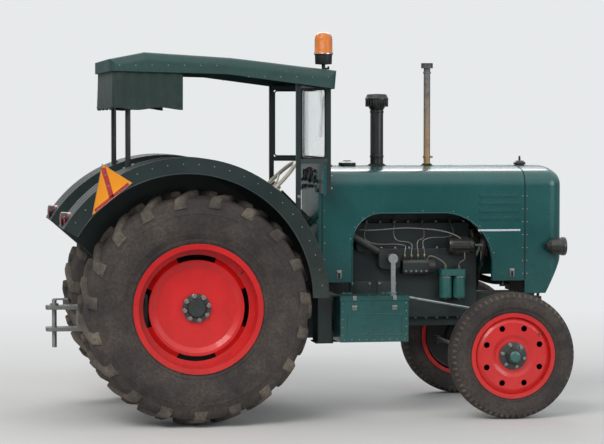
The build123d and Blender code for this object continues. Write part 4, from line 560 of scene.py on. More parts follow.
NODE_FINISH = {
    paint_green: "side_box side_box_lid dash hood nose",
    guard_green_painted_shade: "mudguard windscreen_frame",
    filter_green: "fuel_filters",
    sign_yellow: "warning_sign",
    engine_paint: "rear_axle gearbox engine_block front_support steering_box front_axle knuckle tie_rod platform "
                  "injection_pump",
    roof_green: "roof",
    wheel_red: "rear_wheel front_wheel",
    hub_green: "rear_hub front_hub",
    tyre_rubber: "rear_tyre front_tyre",
    curtain_cloth: "rear_curtain",
    black_paint: "grille radiator radiator_cap filler_cap intake_stack headlamps seat_frame steering_column "
                 "rear_posts fan",
    exhaust_steel: "exhaust_pipe",
    iron_dark: "exhaust_manifold",
    bright_steel: "drag_link pto_shaft hitch_pin drop_arm",
    zinc: "hitch",
    screen_glass: "windscreen_glass",
    amber_lens: "beacon",
    ivory: "steering_wheel",
    seat_vinyl: "seat_cushion back_cushion",
    red_lens: "rear_lamps",
}
for finish_material, names in NODE_FINISH.items():
    for node_name, node in nodes.items():
        if node_name.removesuffix("_left").removesuffix("_right") in names.split():
            node.data.materials.clear()
            node.data.materials.append(finish_material)
            soften(node, 32)

# Studio: pale floor, soft light and the photograph's viewpoint

SIGHT = 15.4
TURN = radians(-9.7)
RISE = radians(2.5)
LENS = 139.0
AIM = Vector((0.0, 0.0, 1.235))
BACKDROP = (0.80, 0.82, 0.83)


def stage_set():
    """Large pale floor that fades into the backdrop away from the tractor."""
    finish = Finish("studio_floor", 0.9)
    far = finish.add("VectorMath", {0: finish.place}, operation="LENGTH").outputs["Value"]
    fade = finish.spread(far, 2.6, 8.5)
    near = finish.mix(finish.noise(1.2, 3.0), (0.70, 0.70, 0.68), (0.75, 0.75, 0.73))
    shown = finish.spread(finish.add("LightPath").outputs["Is Camera Ray"], 0.0, 1.0, 0.3, 1.0)
    finish.made(
        Base_Color=finish.mix(fade, near, (0.0, 0.0, 0.0)), Specular_IOR_Level=0.0,
        Emission_Color=BACKDROP, Emission_Strength=finish.times(fade, shown),
    )
    floor = Shape().skin([[(-40, -40, 0), (40, -40, 0)], [(-40, 40, 0), (40, 40, 0)]])
    floor.placed("studio_floor", finish.material)


def area_light(name, place, target, size, power, color=(1, 1, 1)):
    """Soft rectangular light that faces a point."""
    data = bpy.data.lights.new(name, "AREA")
    data.shape = "RECTANGLE"
    data.size, data.size_y = size
    data.energy = power
    data.color = color
    lamp = bpy.data.objects.new(name, data)
    lamp.location = place
    lamp.rotation_euler = (Vector(target) - Vector(place)).to_track_quat("-Z", "Y").to_euler()
    bpy.context.scene.collection.objects.link(lamp)


def sky():
    """Soft grey light all round, with a bright pale sky seen directly and in reflections."""
    world = bpy.data.worlds.new("studio")
    bpy.context.scene.world = world
    tree = Tree(world)
    path = tree.add("LightPath").outputs
    place = tree.add("TexCoord").outputs["Generated"]
    up = tree.add("SeparateXYZ", {"Vector": place}).outputs["Z"]

    def glow(color, strength):
        return tree.add("Background", {"Color": color, "Strength": strength}).outputs[0]

    def blend(amount, first, second):
        return tree.add("MixShader", {0: amount, 1: first, 2: second}).outputs[0]

    mirrored = glow((0.95, 0.98, 1.0), tree.spread(up, 0.05, 0.75, 0.28, 1.35))
    around = blend(path["Is Glossy Ray"], glow((0.93, 0.96, 1.0), 0.5), mirrored)
    direct = tree.math("MAXIMUM", path["Is Camera Ray"], path["Is Transmission Ray"])
    tree.add("OutputWorld", {"Surface": blend(direct, around, glow(BACKDROP, 1.0))})


def camera():
    data = bpy.data.cameras.new("camera")
    data.lens = LENS
    data.clip_end = 200
    view = bpy.data.objects.new("camera", data)
    back = Vector((sin(TURN) * cos(RISE), -cos(TURN) * cos(RISE), sin(RISE)))
    view.location = AIM + back * SIGHT
    view.rotation_euler = (-back).to_track_quat("-Z", "Y").to_euler()
    bpy.context.scene.collection.objects.link(view)
    bpy.context.scene.camera = view


stage_set()
sky()
area_light("key_light", (-5.0, -8.0, 7.5), (0, 0, 0.9), (6, 5), 620, (1.0, 0.98, 0.95))
area_light("fill_light", (7.0, -7.0, 3.5), (0.5, 0, 0.9), (5, 4), 200, (0.94, 0.97, 1.0))
area_light("back_light", (1.0, 8.0, 7.0), (0, 0, 1.2), (7, 4), 330)
camera()
bpy.context.scene.view_settings.view_transform = "Standard"

# Wheels and tyres


def hub_details(name, side):
    """Studs and nuts round each hub, and the front hub's grease cap."""
    out = Vector((0, side, 0))
    for end, at, sunk, radius, count, start, wide, tall in (
        ("rear", REAR, 0.020, 0.074, 8, 0.2, 0.024, 0.014), ("front", FRONT, 0.052, 0.070, 6, 0.3, 0.021, 0.013),
    ):
        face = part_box(f"{end}_hub_{name}")[side > 0].y
        nuts = Shape()
        for point, _ in ring((at.x, face - side * sunk, at.z), out, radius, count, start):
            nuts.bolt(point - out * 0.001, out, wide, tall)
        nuts.done(f"{end}_nuts_{name}", zinc, f"{end}_wheel_{name}")
    outline = [(0.0, -0.002), (0.030, -0.002), (0.0345, 0.001), (0.0345, 0.004), (0.030, 0.0075), (0.016, 0.010),
               (0, 0.0105)]
    cap = Shape().lathe(outline, (FRONT.x, face, FRONT.z), out, 36)
    cap.done(f"front_cap_{name}", filter_green, f"front_wheel_{name}", 50)


def tyre_body(end, name, side, hub, wall, bead, steps, title):
    """Tyre turned from one half of its outline, in the CAD tyre's place; gives its middle."""
    center = Vector((hub.x, middle(f"{end}_tyre_{name}").y, hub.z))
    half = [(bead, wall[0][1]), *wall]
    outline = [(r, -y) for r, y in half] + [(r, y) for r, y in reversed(half[:-1])]
    body = Shape().lathe(outline, center, (0, side, 0), steps, closed=True)
    body.done(f"{title}_{name}", tyre_rubber, f"{end}_wheel_{name}", 35, replaces=f"{end}_tyre_{name}")
    return center


def rear_tyre(name, side):
    """Rear tyre: a carcass with bead and wall rings, and two rows of angled lugs that taper and round off."""
    wall = [
        (0.410, 0.169), (0.418, 0.176), (0.431, 0.181), (0.436, 0.179), (0.440, 0.183), (0.470, 0.1955),
        (0.474, 0.1985), (0.479, 0.1985), (0.483, 0.200), (0.510, 0.209), (0.537, 0.2145), (0.565, 0.2135),
        (0.590, 0.2105), (0.593, 0.2125), (0.598, 0.212), (0.602, 0.209), (0.640, 0.2065), (0.664, 0.203),
        (0.682, 0.188), (0.692, 0.150), (0.699, 0.080), (0.702, 0.0),
    ]
    center = tyre_body("rear", name, side, REAR, wall, 0.3812, 96, "tyre_carcass")
    # Along a lug: place across the tread, trail round the tyre, radius of its crest, width
    stations = (
        (-0.019, 0.0, 0.712, 0.70), (-0.014, 0.0, 0.733, 0.86), (-0.004, -0.003, 0.7365, 1.0),
        (0.03, -0.020, 0.734, 1.0), (0.07, -0.043, 0.727, 1.02), (0.11, -0.067, 0.719, 1.06),
        (0.15, -0.092, 0.711, 1.12), (0.18, -0.111, 0.7055, 1.18), (0.198, -0.122, 0.700, 1.22),
        (0.207, -0.127, 0.690, 1.22), (0.2125, -0.130, 0.667, 1.2),
    )
    count, root, round_r, foot_r = 38, 0.634, 0.70, 0.71
    lugs = Shape()
    for index in range(count):
        hand = -1 if index % 2 else 1
        rows = []
        for along, trail, crest, wide in stations:
            top, low = 0.021 * wide, 0.034 * wide
            half = ((low + 0.004, root), (low - 0.004, crest - 0.022), (top + 0.004, crest - 0.005),
                    (top - 0.002, crest))
            row = []
            for reach, radius in [(-v, r) for v, r in half] + list(reversed(half)):
                angle = pi + 2 * pi * index / count + trail / round_r + reach / foot_r
                row.append(center + Vector((radius * sin(angle), hand * along, radius * cos(angle))))
            rows.append(row)
        lugs.skin(rows, around=True, caps=True)
    lugs.done(f"tyre_lugs_{name}", lug_rubber_dust_and_highlight, f"rear_wheel_{name}", 45, replaces=f"rear_tyre_{name}", merge=False)


def front_tyre(name, side):
    """Front tyre: three ribs round the tread and small blocks on the shoulders."""
    wall = [
        (0.278, 0.058), (0.284, 0.064), (0.292, 0.067), (0.295, 0.0655), (0.298, 0.069), (0.312, 0.078),
        (0.3145, 0.0805), (0.3175, 0.0805), (0.320, 0.081), (0.335, 0.0848), (0.352, 0.084), (0.368, 0.081),
        (0.371, 0.0825), (0.375, 0.082), (0.379, 0.078), (0.389, 0.069), (0.393, 0.0625), (0.3965, 0.056),
        (0.4015, 0.0515), (0.4035, 0.047), (0.4045, 0.036), (0.4035, 0.0265), (0.391, 0.0235), (0.3895, 0.019),
        (0.391, 0.0145), (0.4035, 0.0125), (0.405, 0.010), (0.405, 0.0),
    ]
    center = tyre_body("front", name, side, FRONT, wall, 0.2542, 128, "front_tyre_ribbed")
    blocks = Shape()
    for angle in every(0, 2 * pi / 64, 64):
        radial, beside = Vector((sin(angle), 0, cos(angle))), Vector((cos(angle), 0, -sin(angle)))
        for hand in BOTH:
            rows = []
            for radius, y, grow in ((0.371, 0.079, 0.4), (0.384, 0.0745, 1.0), (0.3925, 0.066, 1.0),
                                    (0.398, 0.056, 0.8)):
                base = center + radial * (radius - 0.004) + Vector((0, hand * (y - 0.003), 0))
                crest = center + radial * (radius + 0.0015) + Vector((0, hand * (y + 0.002), 0))
                wide, narrow = beside * 0.0085 * grow, beside * 0.0085 * grow * 0.8
                rows.append([base - wide, crest - narrow, crest + narrow, base + wide])
            blocks.skin(rows, around=True, caps=True)
    blocks.done(f"front_shoulder_blocks_{name}", lug_rubber_dust_and_highlight, f"front_wheel_{name}", 45,
                replaces=f"front_tyre_{name}", merge=False)


def wheel_details(name, side):
    """Valves, and a black plate behind each front wheel disc: painted shade for what shows through the wheel."""
    out = Vector((0, side, 0))
    leaning = Vector((sin(0.9), 0, cos(0.9)))
    for end, hub, y, radius, size in (("rear", REAR, 0.815, 0.352, 1.0), ("front", FRONT, 0.772, 0.236, 0.8)):
        valve = Shape()
        start = Vector((hub.x, side * y, hub.z)) + leaning * (radius + 0.012)
        tip = start - leaning * (0.012 + 0.022 * size) + out * 0.030 * size
        run = (tip - start).normalized()
        valve.tube([start, start.lerp(tip, 0.5) - leaning * 0.004, tip], 0.0042 * size, 10)
        valve.rod(tip - run * 0.004, tip + run * 0.008, 0.0058 * size, 10, 0.001)
        valve.done(f"{end}_valve_{name}", brass, f"{end}_wheel_{name}")
    # Black plate that fills the back of each front rim: painted shade seen through the wheel disc.
    outline = [(0.030, 0.648), (0.090, 0.651), (0.100, 0.660), (0.106, 0.678), (0.226, 0.685), (0.232, 0.681),
               (0.236, 0.682), (0.232, 0.690), (0.226, 0.689), (0.104, 0.682), (0.095, 0.662), (0.030, 0.653)]
    shade_plate = Shape().lathe(outline, (FRONT.x, 0, FRONT.z), out, 48, closed=True)
    shade_plate.done(f"front_shade_plate_{name}", black_plastic, f"knuckle_{name}", 30)


for side_name, side_sign in SIDES:
    for dress in (hub_details, rear_tyre, front_tyre, wheel_details):
        dress(side_name, side_sign)

# Engine bay: pipes, bolts, generator, belt and hoses


def engine_details():
    """Bolt rows on the head, the rocker cover and the sump, and bolted inspection covers."""
    bolts, covers, rim_bolts = Shape(), Shape(), Shape()
    for x in every(1.115, 0.094, 9):
        for side in BOTH:
            bolts.bolt(across(x, side * 0.102, 1.230), UP, 0.019, 0.013)
            bolts.bolt(across(x, side * 0.142, 1.060), UP, 0.015, 0.010)
    for x in every(1.20, 0.29, 3):
        bolts.bolt(across(x, 0, 1.290), UP, 0.017, 0.016)
    for x in every(1.10, 0.072, 12):
        for side in BOTH:
            bolts.bolt(across(x, side * 0.148, 0.610), DOWN, 0.013, 0.008)
    for low, high in ((1.085, 1.235), (1.27, 1.405)):
        for side in BOTH:
            covers.box(across(low, side * 0.1645, 0.680), across(high, side * 0.1725, 0.850), 0.004)
            for x in (low + 0.016, high - 0.016):
                for z in (0.696, 0.834):
                    rim_bolts.bolt(across(x, side * 0.1724, z), (0, side, 0), 0.013, 0.008)
    covers.box(across(1.08, -0.084, 1.2295), across(1.90, 0.084, 1.240), 0.003)
    for x in every(1.16, 0.16, 5):
        covers.box(across(x, -0.066, 1.2895), across(x + 0.008, 0.066, 1.296), 0.002)
    covers.lathe([(0, 0), (0.032, 0), (0.034, 0.010), (0.030, 0.022), (0, 0.022)], across(1.78, 0, 1.2895), UP, 24)
    bolts.done("engine_bolts", zinc)
    covers.done("engine_covers", engine_paint)
    rim_bolts.done("cover_bolts", zinc)


def injection_lines():
    """Pressure lines from the pump to the head, with union nuts, and a fuel feed to the filters."""
    low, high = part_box("injection_pump")
    bowl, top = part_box("fuel_filters")
    lines, nuts, trim = Shape(), Shape(), Shape()
    pump_y, filter_y, count = -0.2103, -0.2113, 4
    for index in range(count):
        x = low.x + 0.175 * (index + 0.5) / count
        end = ahead(1.20 + index * 0.19)
        lift = 1.085 + 0.012 * index
        route = [(x, pump_y, high.z - 0.006), (x, pump_y, high.z + 0.03), (x, pump_y + 0.01, lift),
                 (end, -0.185, lift + 0.03), (end, -0.13, 1.235), (end, -0.095, 1.262), (end, -0.088, 1.250)]
        lines.tube(smooth_path(route), 0.0032)
        for nut in ((x, pump_y, high.z - 0.002), (end, -0.088, 1.228)):
            nuts.lathe([(0, 0), (0.0085, 0), (0.0085, 0.014), (0.005, 0.019), (0, 0.019)], nut, UP, 6)
    inlet, outlet, port = bowl.x + 0.041, top.x - 0.041, top.z - 0.004
    to_filter = [(high.x - 0.050, pump_y, 0.988), (high.x - 0.03, pump_y - 0.01, 1.015), (bowl.x + 0.01, pump_y, 0.985),
                 (inlet, filter_y, top.z + 0.012), (inlet, filter_y, port)]
    to_tank = [(outlet, filter_y, port), (outlet, filter_y, top.z + 0.02), (top.x - 0.01, -0.24, 1.00),
               across(1.80, -0.25, 1.14), across(1.50, -0.24, 1.20), across(1.15, -0.21, 1.19),
               across(1.06, -0.12, 1.24)]
    lines.tube(smooth_path(to_filter), 0.0042)
    lines.tube(smooth_path(to_tank), 0.0045)
    for x in (inlet, outlet):
        nuts.lathe([(0, 0), (0.012, 0), (0.012, 0.012), (0.007, 0.017), (0, 0.017)], (x, filter_y, port), UP, 6)
        trim.hoop((x, filter_y, top.z - 0.072), UP, 0.0405, 0.0435, 0.010)
        trim.lathe([(0, 0.002), (0.010, 0.002), (0.011, -0.006), (0, -0.010)], (x, filter_y, bowl.z), UP, 12)
    for x in every(low.x + 0.02, 0.034, 5):
        trim.bolt((x, low.y + 0.0005, low.z + 0.020), RIGHTWARD, 0.010, 0.006, 0.002)
    lines.done("injection_lines", zinc, smooth=60)
    nuts.done("line_nuts", brass)
    trim.done("filter_trim", zinc)


def belt_line(circles, steps=14):
    """Points round circles of (y, z, radius), outside all of them, with the way outward."""
    count = len(circles)
    middle_y, middle_z = (sum(each[axis] for each in circles) / count for axis in (0, 1))
    order = sorted(circles, key=lambda c: atan2(c[1] - middle_z, c[0] - middle_y))
    leaves = []
    for here, on in zip(order, order[1:] + order[:1]):
        dy, dz = on[0] - here[0], on[1] - here[1]
        leaves.append(atan2(dz, dy) - acos((here[2] - on[2]) / hypot(dy, dz)))
    line = []
    for index, (y, z, radius) in enumerate(order):
        start = leaves[index - 1]
        turn = (leaves[index] - start) % (2 * pi)
        for step in range(steps + 1):
            a = start + turn * step / steps
            line.append((Vector((0, y + radius * cos(a), z + radius * sin(a))), Vector((0, cos(a), sin(a)))))
    return line


def generator():
    """Belt-driven generator beside the case, with its bracket, belt and water hoses."""
    y, z, belt_x = -0.226, 1.085, ahead(1.967)
    body, mount, pulley, hoses, clips = Shape(), Shape(), Shape(), Shape(), Shape()
    back = across(1.735, y, z)
    outline = [(0, -0.006), (0.036, -0.006), (0.050, 0.0), (0.054, 0.008), (0.054, 0.030), (0.051, 0.032),
               (0.051, 0.135), (0.054, 0.137), (0.054, 0.162), (0.048, 0.170), (0, 0.170)]
    body.lathe(outline, back, FORWARD, 40)
    for point, _ in ring(back + FORWARD * 0.0845, FORWARD, 0.0525, 10):
        body.block(point, (0.05, 0.002, 0.002))
    body.done("generator", black_paint, smooth=35)
    mount.box(across(1.76, -0.190, 1.020), across(1.88, -0.118, 1.040), 0.003)
    mount.box(across(1.76, -0.246, 1.030), across(1.88, -0.180, 1.044), 0.004)
    mount.tube([across(1.90, y, z + 0.05), across(1.915, -0.15, 1.165), across(1.90, -0.115, 1.18)], 0.007)
    mount.done("generator_mount", iron_dark)
    groove = [(0, 0), (0.042, 0), (0.042, 0.004), (0.036, 0.009), (0.042, 0.015), (0.042, 0.019), (0, 0.019)]
    pulley.lathe(groove, (belt_x - 0.0095, y, z), FORWARD, 32)
    pulley.rod(across(1.905, y, z), (belt_x + 0.016, y, z), 0.009, 12)
    pulley.bolt((belt_x + 0.0095, y, z), FORWARD, 0.019, 0.010)
    pulley.done("generator_pulley", zinc)
    section = ((-0.0055, -0.002), (0.0055, -0.002), (0.0075, 0.006), (-0.0075, 0.006))
    rows = [[point + Vector((belt_x + w, 0, 0)) + out * o for w, o in section]
            for point, out in belt_line([(0.0, 0.850, 0.0735), (0.0, 1.105, 0.0735), (y, z, 0.0425)])]
    Shape().skin(rows, around=True, along=True).done("fan_belt", hose_rubber, smooth=35)
    upper = [(1.885, 0.03, 1.225), (1.90, 0.03, 1.30), (2.02, 0.04, 1.40), (2.15, 0.05, 1.44), (2.236, 0.05, 1.44)]
    lower = [(1.935, 0.10, 0.93), (2.02, 0.20, 0.86), (2.14, 0.19, 0.82), (2.236, 0.17, 0.82)]
    for route, radius in ((upper, 0.026), (lower, 0.024)):
        hoses.tube(smooth_path([across(*place) for place in route]), radius, 20)
    hoses.done("water_hoses", hose_rubber, smooth=60)
    for at, axis, radius in (((1.886, 0.03, 1.243), UP, 0.0265), ((2.20, 0.05, 1.4405), FORWARD, 0.0265),
                             ((2.20, 0.1755, 0.8195), (1, 0, -0.02), 0.0248)):
        clips.hoop(across(*at), axis, radius, radius + 0.0018, 0.011, 24, 0.0005)
    clips.done("hose_clips", zinc)


engine_details()
injection_lines()
generator()

# Hood, nose and lamps


def hood_line(out=0.0, low=0.856, steps=8):
    """Points (y, z) of the hood's outline across the tractor, moved outward."""
    shoulder, big = 0.105, 1.2067
    big_z = HOOD_TOP - big
    mid_y = HOOD_HALF - shoulder
    mid_z = big_z + ((big - shoulder) ** 2 - mid_y ** 2) ** 0.5
    meet = atan2(mid_z - big_z, mid_y)
    right = [(HOOD_HALF + out, low), (HOOD_HALF + out, 1.20)]
    for a in every(0, meet / steps, steps + 1):
        right.append((mid_y + (shoulder + out) * cos(a), mid_z + (shoulder + out) * sin(a)))
    for a in every(meet, (pi / 2 - meet) / 6, 6)[1:]:
        right.append(((big + out) * cos(a), big_z + (big + out) * sin(a)))
    return right + [(0.0, HOOD_TOP + out)] + [(-y, z) for y, z in reversed(right)]


def arch_line(out=0.0, low=0.857):
    """Points (x, z) of the opening in the hood's side, from its back foot to its front foot."""
    back, front, top = ahead(1.075) - out, ahead(2.007) + out, 1.300 + out
    r_back, r_front = 0.190 + out, 0.330 + out
    points = [(back, low), (back, 0.98)]
    points += [(back + r_back + r_back * cos(a), top - r_back + r_back * sin(a)) for a in every(pi, -pi / 24, 13)]
    points.append(((back + front) / 2, top))
    points += [(front - r_front + r_front * cos(a), top - r_front + r_front * sin(a))
               for a in every(pi / 2, -pi / 32, 17)]
    return points + [(front, low)]


def band(x, width, low, out=0.0012, sunk=-0.002):
    """Strip of sheet over the hood at this X, standing off its skin by out."""
    edges = ((-width / 2, sunk), (-width / 2, out), (width / 2, out), (width / 2, sunk))
    rows = [[(x + offset, y, z) for y, z in hood_line(height, low)] for offset, height in edges]
    return Shape().skin(list(zip(*rows)), around=True, caps=True)


def hood_trims():
    """Seams, crest, arch bead, side strips, latches and screws of the hood."""
    seam = band(HOOD_SEAM_X, 0.007, 0.865)
    seam.take(band(HOOD_BACK_X, 0.006, 0.868).mesh)
    seam.done("hood_seams", hose_rubber)
    crest = Shape().box(across(0.885, -0.004, 1.6045), across(2.215, 0.004, 1.6095), 0.0015)
    crest.done("hood_crest", white_trim)
    beads, strips, screws, latches, straps = Shape(), Shape(), Shape(), Shape(), Shape()
    for side in BOTH:
        beads.tube([(x, side * 0.3305, z) for x, z in arch_line(0.003)], 0.0042)
        strips.box(across(1.910, side * 0.3295, 1.1795), across(2.195, side * 0.3345, 1.1925), 0.0018)
        for x in (1.925, 2.05, 2.18):
            screws.dome(across(x, side * 0.3344, 1.186), (0, side, 0), 0.0028, 0.0016)
        for x, z in arch_line(0.016)[3:-3:3]:
            screws.dome((x, side * HOOD_HALF, z), (0, side, 0), 0.0042, 0.0026)
        for x, step, count in ((2.212, 0.085, 7), (2.241, 0.085, 7), (0.889, 0.105, 6)):
            for z in every(0.90, step, count):
                screws.dome(across(x, side * HOOD_HALF, z), (0, side, 0))
        for x, z in ((2.140, 0.905), (0.985, 0.905)):
            latches.box(across(x - 0.016, side * 0.3295, z - 0.026), across(x + 0.016, side * 0.3345, z + 0.030),
                        0.0016)
            latches.box(across(x - 0.013, side * 0.334, z + 0.008), across(x + 0.013, side * 0.343, z + 0.022), 0.002)
            bent = ((0.337, -0.020), (0.343, -0.006), (0.3425, 0.012))
            straps.tube([across(x, side * y, z + rise) for y, rise in bent], 0.0058, 10)
    for y in every(-0.18, 0.09, 5):
        screws.dome(across(2.241, y, HOOD_TOP - y * y / 2.41), UP)
    beads.done("arch_beads", paint_green, smooth=50)
    strips.done("side_trims", white_trim)
    screws.done("hood_screws", zinc)
    latches.done("hood_latches", zinc)
    straps.done("latch_straps", hose_rubber, smooth=50)


def caps_and_stack():
    """Collars where stack and exhaust pass through the hood, their clamps, and the filler cap's grip."""
    collars, screws, stack, pipe, cap = Shape(), Shape(), Shape(), Shape(), Shape()
    for x, radius, reach in ((STACK_X, 0.0475, 0.062), (PIPE_X, 0.0265, 0.041)):
        outline = [(radius, -0.004), (radius + 0.022, -0.003), (radius + 0.0225, 0.0005), (radius + 0.010, 0.003),
                   (radius + 0.004, 0.012), (radius, 0.013)]
        collars.lathe(outline, (x, 0, HOOD_TOP), UP, 40, closed=True)
        for point, _ in ring((x, 0, HOOD_TOP + 0.0002), UP, reach, 4, 0.78):
            screws.dome(point, UP, 0.0042, 0.0024)
    collars.done("hood_collars", hose_rubber, smooth=30)
    screws.done("collar_screws", zinc)
    for z in (1.66, 1.955):
        stack.hoop((STACK_X, 0, z), UP, 0.0432, 0.0462, 0.014)
        stack.box((STACK_X - 0.010, -0.061, z + 0.001), (STACK_X + 0.010, -0.044, z + 0.013), 0.002)
    for point, _ in ring((STACK_X, 0, 2.0195), UP, 0.0725, 24):
        stack.block(point, (0.003, 0.003, 0.0235), 0.001)
    stack.hoop((STACK_X, 0, 2.040), UP, 0.0745, 0.0775, 0.015, 40, 0.003)
    stack.done("stack_trim", black_paint, smooth=35)
    pipe.hoop((PIPE_X, 0, 1.655), UP, 0.0222, 0.0262, 0.016)
    pipe.hoop((PIPE_X, 0, 2.215), UP, 0.0222, 0.0255, 0.014)
    pipe.box((PIPE_X + 0.024, -0.008, 1.657), (PIPE_X + 0.040, 0.008, 1.669), 0.002)
    pipe.bolt((PIPE_X + 0.033, -0.0078, 1.663), RIGHTWARD, 0.010, 0.006, 0.002)
    pipe.done("exhaust_clamps", exhaust_steel, smooth=35)
    low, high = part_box("filler_cap")
    center = (low + high) / 2
    for point, _ in ring((center.x, center.y, low.z + 0.012), UP, 0.0545, 20):
        cap.block(point, (0.003, 0.003, 0.007), 0.001)
    cap.box((center.x - 0.026, -0.006, high.z - 0.001), (center.x + 0.026, 0.006, high.z + 0.006), 0.003)
    collar = [(0.056, -0.008), (0.066, -0.006), (0.066, 0.001), (0.056, 0.003)]
    cap.lathe(collar, (center.x, 0, low.z), UP, 40, closed=True)
    cap.done("filler_trim", black_paint, smooth=35)


def nose_details():
    """Grille mesh and rim, radiator fins, tow hook, and the lens, bezel and bracket of each headlamp."""
    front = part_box("grille")[1].x
    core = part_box("radiator")[1].x
    mesh, fins, lenses, bezels, brackets, hook = Shape(), Shape(), Shape(), Shape(), Shape(), Shape()
    for z in every(1.064, 0.0096, 44):
        mesh.block((front - 0.0215, 0, z), (0.001, 0.184, 0.0009))
    for y in every(-0.180, 0.010, 37):
        mesh.block((front - 0.0234, y, 1.27), (0.0009, 0.0009, 0.225))
    mesh.done("grille_mesh", black_paint)
    outline = [(front - 0.001, y, z) for y, z in rounded(((-0.185, 1.04), (0.185, 1.50)), 0.012)]
    Shape().tube(outline, 0.0045, closed=True).done("grille_rim", chrome, smooth=60)
    for z in every(0.8011, 0.0132, 52):
        fins.block((core - 0.0075, 0, z), (0.002, 0.222, 0.0011))
    for y in every(-0.21, 0.030, 15):
        fins.block((core - 0.0055, y, 1.14), (0.002, 0.0014, 0.35))
    fins.done("radiator_fins", black_paint)
    bezel = [(0.0585, -0.022), (0.0605, -0.020), (0.0608, -0.002), (0.058, 0.003), (0.0535, 0.0035), (0.052, 0.0005),
             (0.056, -0.004)]
    glass = [(0.053, 0.0006), (0.045, 0.0022), (0.032, 0.0036), (0.016, 0.0044), (0, 0.0046)]
    for side in BOTH:
        at = Vector((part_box("headlamps")[1].x, side * 0.385, 1.080))
        bezels.lathe(bezel, at, FORWARD, 48, closed=True)
        lenses.lathe(glass, at, FORWARD, 40)
        brackets.box((at.x - 0.085, side * 0.322, 1.068), (at.x - 0.050, side * 0.345, 1.092), 0.003)
        brackets.bolt((at.x - 0.067, side * 0.362, 1.127), UP, 0.014, 0.009)
        hook.box(across(2.366, side * 0.020, 0.672), across(2.425, side * 0.032, 0.728), 0.005)
    bezels.done("lamp_bezels", black_paint, smooth=35)
    lenses.done("lamp_lenses", clear_lens, smooth=60)
    brackets.done("lamp_brackets", black_paint)
    hook.box(across(2.345, -0.055, 0.655), across(2.368, 0.055, 0.745), 0.004)
    hook.rod(across(2.408, 0, 0.640), across(2.408, 0, 0.752), 0.010, 16, 0.002)
    hook.done("front_pull", iron_dark)


hood_trims()
caps_and_stack()
nose_details()

# Cab: windscreen rubbers, wiper, gauges, pedals, levers and beacon


def screen_panes():
    """Corners of the three panes, each with the direction it faces."""
    heights = (SCREEN_LOW, SCREEN_LOW, SCREEN_HIGH, SCREEN_HIGH)
    front = [across(0.8875, y, z) for y, z in zip((-0.470, 0.470, 0.470, -0.470), heights)]
    panes = [(front, FORWARD)]
    for side in BOTH:
        start, end = across(0.885, side * 0.485, 0), across(0.680, side * 0.550, 0)
        run = (end - start).normalized()
        a, b = start + run * 0.017, end - run * 0.017
        corners = [foot + UP * z for foot, z in zip((a, b, b, a), heights)]
        panes.append((corners, Vector((run.y, -run.x, 0)) * side))
    return panes


def screen_details():
    """Rubbers round the panes, wiper with its motor, bolts and hinges."""
    rubbers, wiper, bolts, hinge = Shape(), Shape(), Shape(), Shape()
    for corners, out in screen_panes():
        center = sum(corners, Vector()) / 4
        outline = []
        for index, corner in enumerate(corners):
            inward = center - corner
            along = Vector((inward.x, inward.y, 0)).normalized()
            up = UP if inward.z > 0 else DOWN
            pair = [corner + along * 0.003 + up * 0.018, corner + along * 0.018 + up * 0.003]
            outline += sorted(pair, key=lambda point: (point - corners[index - 1]).length)
        for face in BOTH:
            rubbers.tube([point + out * 0.004 * face for point in outline], 0.0058, closed=True)
    rubbers.done("screen_rubbers", hose_rubber, smooth=60)
    wiper.rod(across(0.860, -0.10, 2.122), across(0.909, -0.10, 2.122), 0.011, 16, 0.002)
    wiper.box(across(0.815, -0.135, 2.095), across(0.868, -0.045, 2.150), 0.006)
    arm = [across(0.906, -0.10, 2.122), across(0.908, -0.165, 1.985), across(0.902, -0.190, 1.93)]
    wiper.tube(arm, [0.0045, 0.0040, 0.0035])
    lean = Matrix.Rotation(radians(-64), 3, "X")
    wiper.box(across(0.8973, -0.3425, 1.9255), across(0.9050, -0.0425, 1.9365), 0.002, lean)
    wiper.done("wiper", black_plastic)
    for side in BOTH:
        for z in (1.47, 1.55, 1.615):
            bolts.bolt((SCREEN_X, side * 0.485, z), FORWARD, 0.014, 0.009)
        for z in (1.62, 1.70, 2.05, 2.125):
            bolts.dome((SCREEN_X, side * 0.485, z), FORWARD, height=0.003)
        for z in (1.30, 1.42):
            bolts.bolt(across(0.680, side * 0.565, z), (0, side, 0), 0.016, 0.010)
        hinge.box(across(0.8995, side * 0.30 - 0.03, 2.108), across(0.9045, side * 0.30 + 0.03, 2.138), 0.0015)
        pin = [across(0.9035, side * 0.30 + reach, 2.1105) for reach in (-0.03, 0.03)]
        hinge.rod(*pin, 0.0052, 12, 0.001)
    for y in every(-0.42, 0.14, 7):
        for z in (1.645, 2.125):
            bolts.dome((SCREEN_X, y, z), FORWARD, height=0.003)
    bolts.done("screen_bolts", zinc)
    hinge.done("screen_hinges", black_paint)


def gauge(rims, faces, marks, at, radius, hand_angle):
    """Round gauge on the rear of the dash panel."""
    rim = [(1.10, -0.001), (1.12, 0.005), (1.05, 0.0105), (0.97, 0.011), (0.93, 0.0055), (0.93, -0.001)]
    rims.lathe([(radius * share, depth) for share, depth in rim], at, BACKWARD, 36, closed=True)
    faces.lathe([(radius * 0.94, 0.002), (0, 0.002)], at, BACKWARD, 32)
    for index in range(11):
        a = radians(-125 + 25 * index)
        out = Vector((0, sin(a), cos(a))) * radius
        mark = at + BACKWARD * 0.0026 + out * 0.80
        marks.rod(mark - out * 0.09, mark + out * 0.07, 0.0011 if index % 5 else 0.0018, 6)
    a = radians(hand_angle)
    out = Vector((0, sin(a), cos(a))) * radius
    pivot = at + BACKWARD * 0.004
    marks.tube([pivot - out * 0.15, pivot + out * 0.70], [0.0016, 0.0007], 6)
    marks.dome(at + BACKWARD * 0.0025, BACKWARD, radius * 0.10, 0.003, 12)


